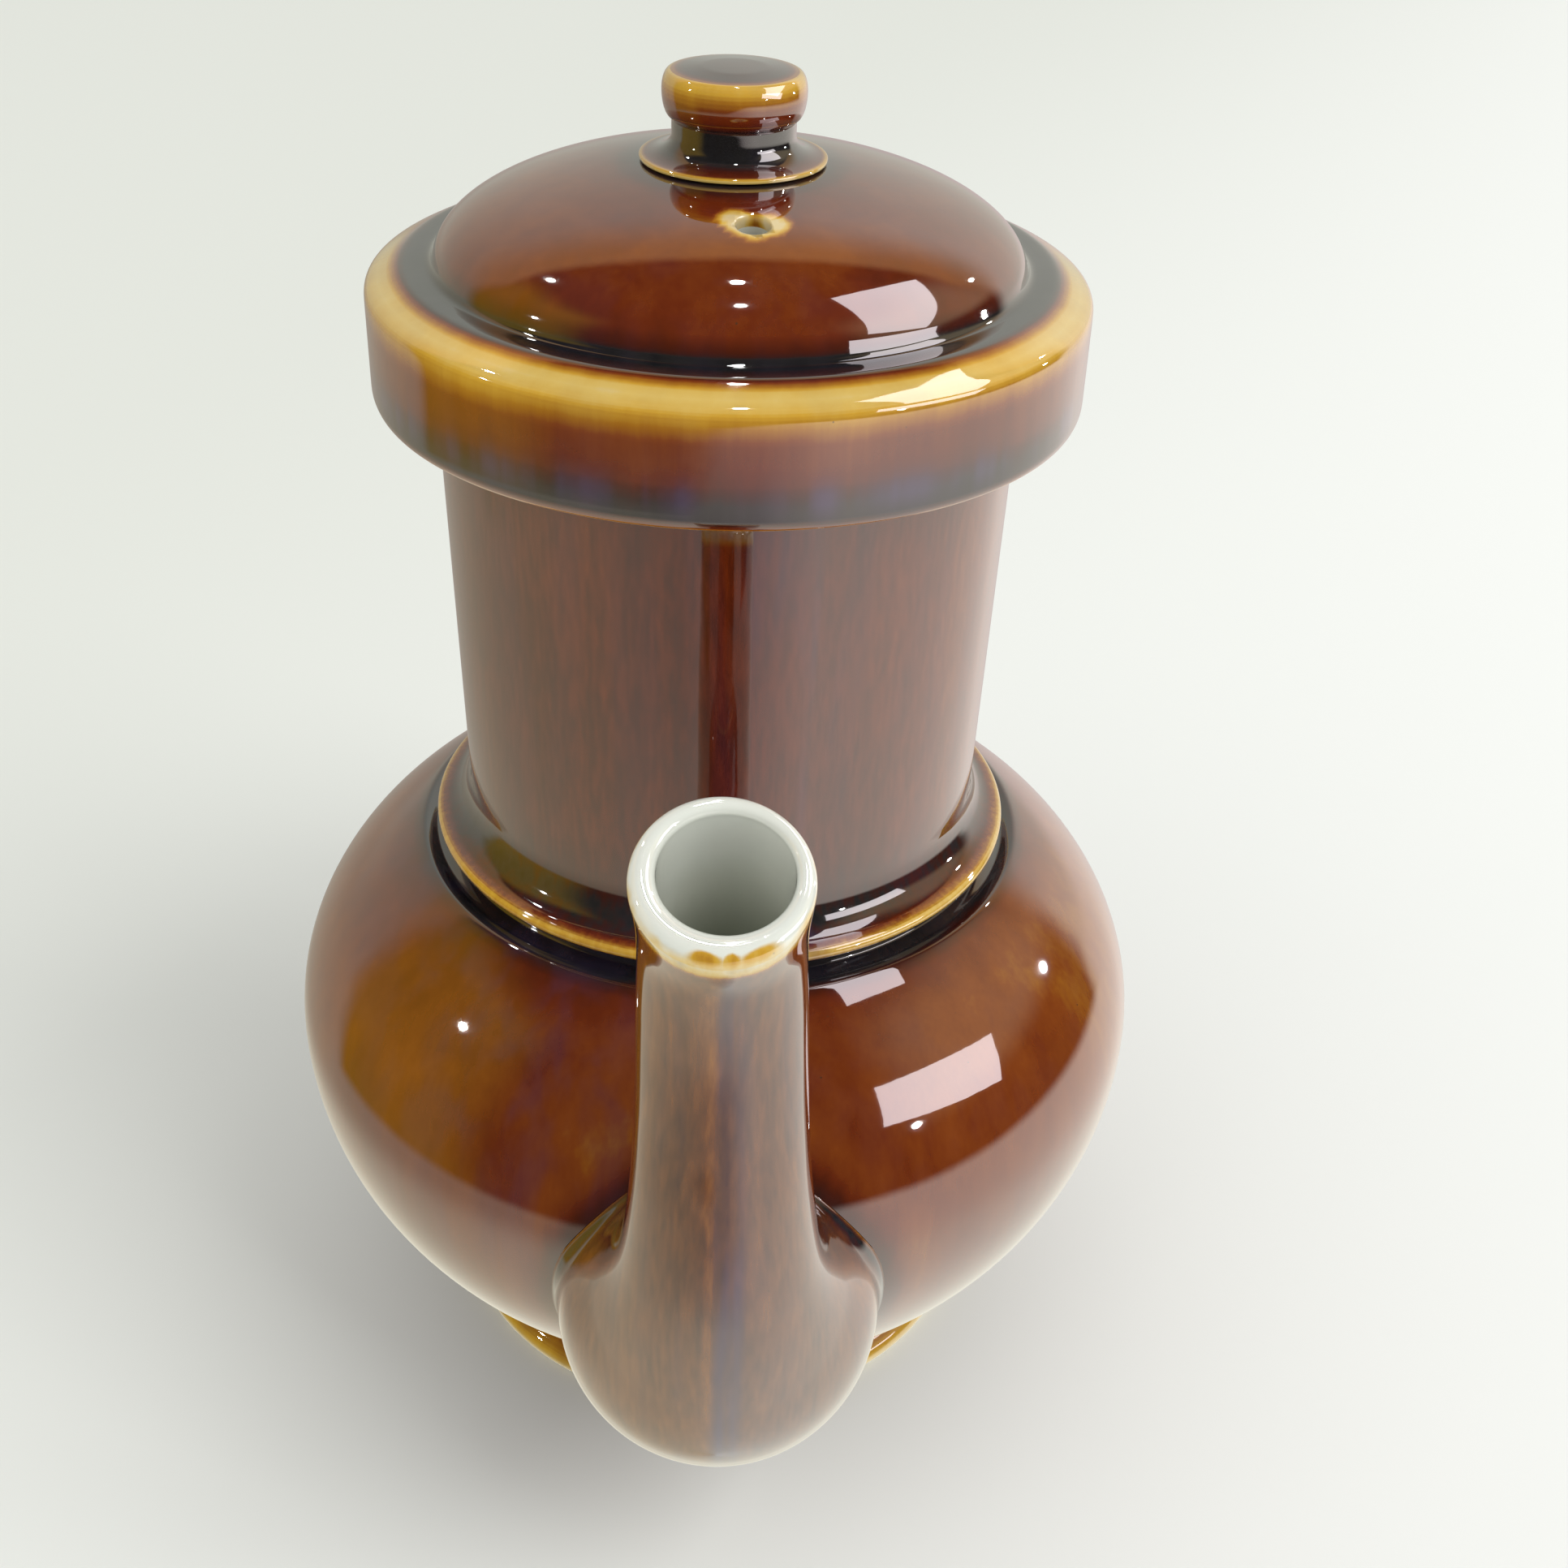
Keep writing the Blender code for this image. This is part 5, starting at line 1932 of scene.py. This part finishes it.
@dataclass(frozen=True)
class Studio:
    """Pale floor, soft light, and the dim room and pale backdrop that the gloss mirrors.

    Each range is a smooth step: low, high and the values at the two. Those of what is
    mirrored are read from parts of the mirrored direction, whose length is 1.
    """

    floor_size: float = 8.0
    # Painted light: the floor runs from floor_left to a lighter floor_right, as the light falls
    # from the right.
    floor_left: tuple = (0.755, 0.775, 0.715)
    floor_right: tuple = (0.92, 0.935, 0.90)
    floor_slant: float = -0.5
    floor_range: tuple = (-0.45, 0.30, (0, 1))
    floor_roughness: float = 0.9
    floor_gloss: float = 0.1
    sky: tuple = (0.82, 0.835, 0.80)
    sky_light: float = 0.72
    room: tuple = (0.030, 0.022, 0.014)
    olive: tuple = (0.40, 0.25, 0.02)
    olive_side: tuple = (-0.80, -0.98, (0, 1))
    olive_top: tuple = (0.80, 0.60, (0, 1))
    haze: tuple = (0.46, 0.36, 0.22)
    haze_side: tuple = (0.70, 0.96, (0, 1))
    haze_foot: tuple = (0.14, 0.36, (0, 1))
    haze_top: tuple = (0.90, 0.65, (0, 1))
    wall_colours: tuple = (
        (0.0, (0.42, 0.38, 0.28)),
        (0.5, (0.48, 0.49, 0.44)),
        (1.0, (0.98, 0.92, 0.80)),
    )
    wall_edge: tuple = (0.58, 0.34, 0.15)
    wall_edge_range: tuple = (0.15, 0.75, (1, 0))
    wall_top: tuple = (-0.05, 0.12, (0, 1))
    wall_slope: float = 1.70
    wall_turn: float = math.radians(4.5)
    wall_half: float = math.cos(math.radians(63.5))
    wall_soft: float = 0.08
    table_colours: tuple = (
        (0.0, (0.47, 0.42, 0.30)),
        (0.35, (0.36, 0.32, 0.27)),
        (0.57, (0.52, 0.44, 0.43)),
        (0.80, (1.0, 0.90, 0.82)),
        (1.0, (1.0, 0.94, 0.84)),
    )
    near_left: tuple = (0.72, 0.66, 0.50)
    near_right: tuple = (1.0, 1.0, 0.90)
    near_range: tuple = (-0.50, -0.80, (0, 1))
    table_dip: tuple = (-0.30, 0.45, (0.42, 0.21))
    table_edge: tuple = (0.05, -0.05, (0, 1))
    table_behind: tuple = (0.0, -0.15, (0, 1))
    lamps: tuple = (
        Lamp("key", (7.2, -4.2, 9.6), (7.2, 7.2), 720.0, mirrored=False),
        Lamp("fill", (-7.2, -5.4, 7.8), (7.2, 7.2), 100.0, mirrored=False),
        Lamp(
            "window",
            (0.67, -0.375, 0.374),
            (0.50, 0.22),
            1.15,
            aim=(0.04, -0.057, 0.088),
            colour=WINDOW_COLOUR,
            spin=-0.32,
        ),
        Lamp(
            "skylight",
            (0.105, -0.039, 0.293),
            (0.12, 0.065),
            0.075,
            aim=(0.022, -0.036, 0.207),
            colour=WINDOW_COLOUR,
            spin=0.785,
        ),
        dot("lamp_left", (-0.61, -0.14, 0.40)),
        dot("lamp_right", (0.62, 0.16, 0.24)),
        dot("lamp_far_right", (0.58, 0.38, 0.60)),
        dot("lamp_far_left", (-0.40, 0.19, 0.72)),
        dot("lamp_over_far", (0.02, 0.22, 1.00), 0.034, 0.50),
        dot("lamp_over", (0.03, -0.05, 1.00), 0.034, 0.50),
        dot("lamp_front", (0.58, -0.50, 0.26)),
    )

    def floor_material(self) -> bpy.types.Material:
        """Pale matt floor with painted light, a little lighter towards the lower right where the
        light falls.
        """
        wiring = MaterialWiring("pale_floor")
        x, y, _ = wiring.parts()
        across = wiring.maths("MULTIPLY_ADD", y, self.floor_slant, x)
        side = wiring.span(across, *self.floor_range)
        return wiring.finish(
            {
                "Base Color": wiring.mix(side, self.floor_left, self.floor_right),
                "Roughness": self.floor_roughness,
                "Specular IOR Level": self.floor_gloss,
            }
        )

    def floor(self) -> bpy.types.Object:
        """Make the floor under the pot's foot; the gloss mirrors the world instead."""
        half = self.floor_size / 2
        signs = ((-1, -1), (1, -1), (1, 1), (-1, 1))
        corners = [(x * half, y * half, 0) for x, y in signs]
        mesh = bpy.data.meshes.new("floor")
        mesh.from_pydata(corners, [], [(0, 1, 2, 3)])
        mesh.materials.append(self.floor_material())
        made = link("floor", mesh)
        made.visible_glossy = False
        return made

    def far_room(self, wiring: Wiring, side: object, z: object) -> bpy.types.NodeSocket:
        """Dim room, olive at the far left and hazy at the far right."""
        olive = wiring.span(side, *self.olive_side)
        olive = wiring.maths("MULTIPLY", olive, wiring.span(z, *self.olive_top))
        haze = wiring.span(side, *self.haze_side)
        haze = wiring.maths("MULTIPLY", haze, wiring.span(z, *self.haze_foot))
        haze = wiring.maths("MULTIPLY", haze, wiring.span(z, *self.haze_top))
        return wiring.mix(haze, wiring.mix(olive, self.room, self.olive), self.haze)

    def backdrop(self, wiring: Wiring, parts: tuple, level: object, place: object) -> tuple:
        """Colour of the pale backdrop, and how far it shows in a direction.

        It stands towards +Y, turned by wall_turn. It shows where z is less than
        wall_slope times the way towards it, within wall_half of straight on.

        Args:
            wiring: the world's wiring.
            parts: x, y and z of the direction.
            level: length of the direction's level part.
            place: 0 at the left, 1 at the right.

        Returns:
            Sockets of the colour and of the share that shows.
        """
        x, y, z = parts
        ahead = wiring.maths("MULTIPLY", y, math.cos(self.wall_turn))
        ahead = wiring.maths("MULTIPLY_ADD", x, -math.sin(self.wall_turn), ahead)
        drop = wiring.maths("MULTIPLY", z, -1.0)
        under = wiring.maths("MULTIPLY_ADD", ahead, self.wall_slope, drop)
        colour = wiring.ramp(place, self.wall_colours)
        colour = wiring.mix(wiring.span(under, *self.wall_edge_range), colour, self.wall_edge)
        straight = wiring.maths("DIVIDE", ahead, level)
        low, high = self.wall_half - self.wall_soft, self.wall_half + self.wall_soft
        within = wiring.span(straight, low, high, (0, 1))
        return colour, wiring.maths("MULTIPLY", within, wiring.span(under, *self.wall_top))

    def table(self, wiring: Wiring, z: object, place: object) -> bpy.types.NodeSocket:
        """Colour of the pale table: a band of its own, and the near part under the pot."""
        far = wiring.ramp(place, self.table_colours)
        near = wiring.mix(place, self.near_left, self.near_right)
        return wiring.mix(wiring.span(z, *self.near_range), far, near)

    def mirrored(self, wiring: Wiring) -> bpy.types.NodeSocket:
        """What the gloss mirrors in each direction (x, y, z).

        The table shows below a dip that runs smoothly from the left to the right, and
        all the way under the backdrop. Above it stand the backdrop and the dim room.
        """
        x, y, z = parts = wiring.parts()
        square = wiring.maths("MULTIPLY_ADD", x, x, wiring.maths("MULTIPLY", y, y))
        level = wiring.maths("MAXIMUM", wiring.maths("SQRT", square), SMALL_LEVEL)
        side = wiring.maths("DIVIDE", x, level)
        place = wiring.maths("MULTIPLY_ADD", side, 0.5, 0.5)
        wall, within = self.backdrop(wiring, parts, level, place)
        seen = wiring.mix(within, self.far_room(wiring, side, z), wall)
        dip = wiring.span(side, *self.table_dip)
        lit = wiring.span(wiring.maths("ADD", z, dip), *self.table_edge)
        behind = wiring.maths("MULTIPLY", within, wiring.span(z, *self.table_behind))
        lit = wiring.maths("MAXIMUM", lit, behind)
        return wiring.mix(lit, seen, self.table(wiring, z, place))

    def world(self) -> None:
        """Even light for all rays but the camera's and mirror rays."""
        world = bpy.data.worlds.new("studio")
        world.use_nodes = True
        bpy.context.scene.world = world
        wiring = Wiring(world.node_tree, "Generated")
        path = wiring.add("ShaderNodeLightPath")
        even = (self.sky_light, self.sky_light, self.sky_light)
        seen = wiring.mix(path.outputs["Is Camera Ray"], even, self.sky)
        seen = wiring.mix(path.outputs["Is Glossy Ray"], seen, self.mirrored(wiring))
        background = world.node_tree.nodes["Background"]
        wiring.feed(background.inputs["Color"], seen)
        background.inputs["Strength"].default_value = 1.0

    def build(self) -> None:
        """Make the floor, the world and the lamps."""
        self.floor()
        self.world()
        for lamp in self.lamps:
            lamp.build()
        bpy.context.scene.view_settings.view_transform = "Standard"


def main() -> None:
    """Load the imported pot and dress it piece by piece."""
    logging.basicConfig(level=logging.INFO, format="%(name)s %(message)s")
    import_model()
    Camera().build()
    Studio().build()
    finishes = Palette().made()
    spout, handle = Spout(), Handle()
    Pot().build(finishes, np.vstack((spout.seam(), handle.seams())))
    spout.build(finishes)
    handle.build(finishes)
    for piece in (DripChamber(), Sieve(), WaterSpreader(), SpreaderKnob(), Lid(), LidKnob()):
        piece.build(finishes)


if __name__ == "__main__":
    main()
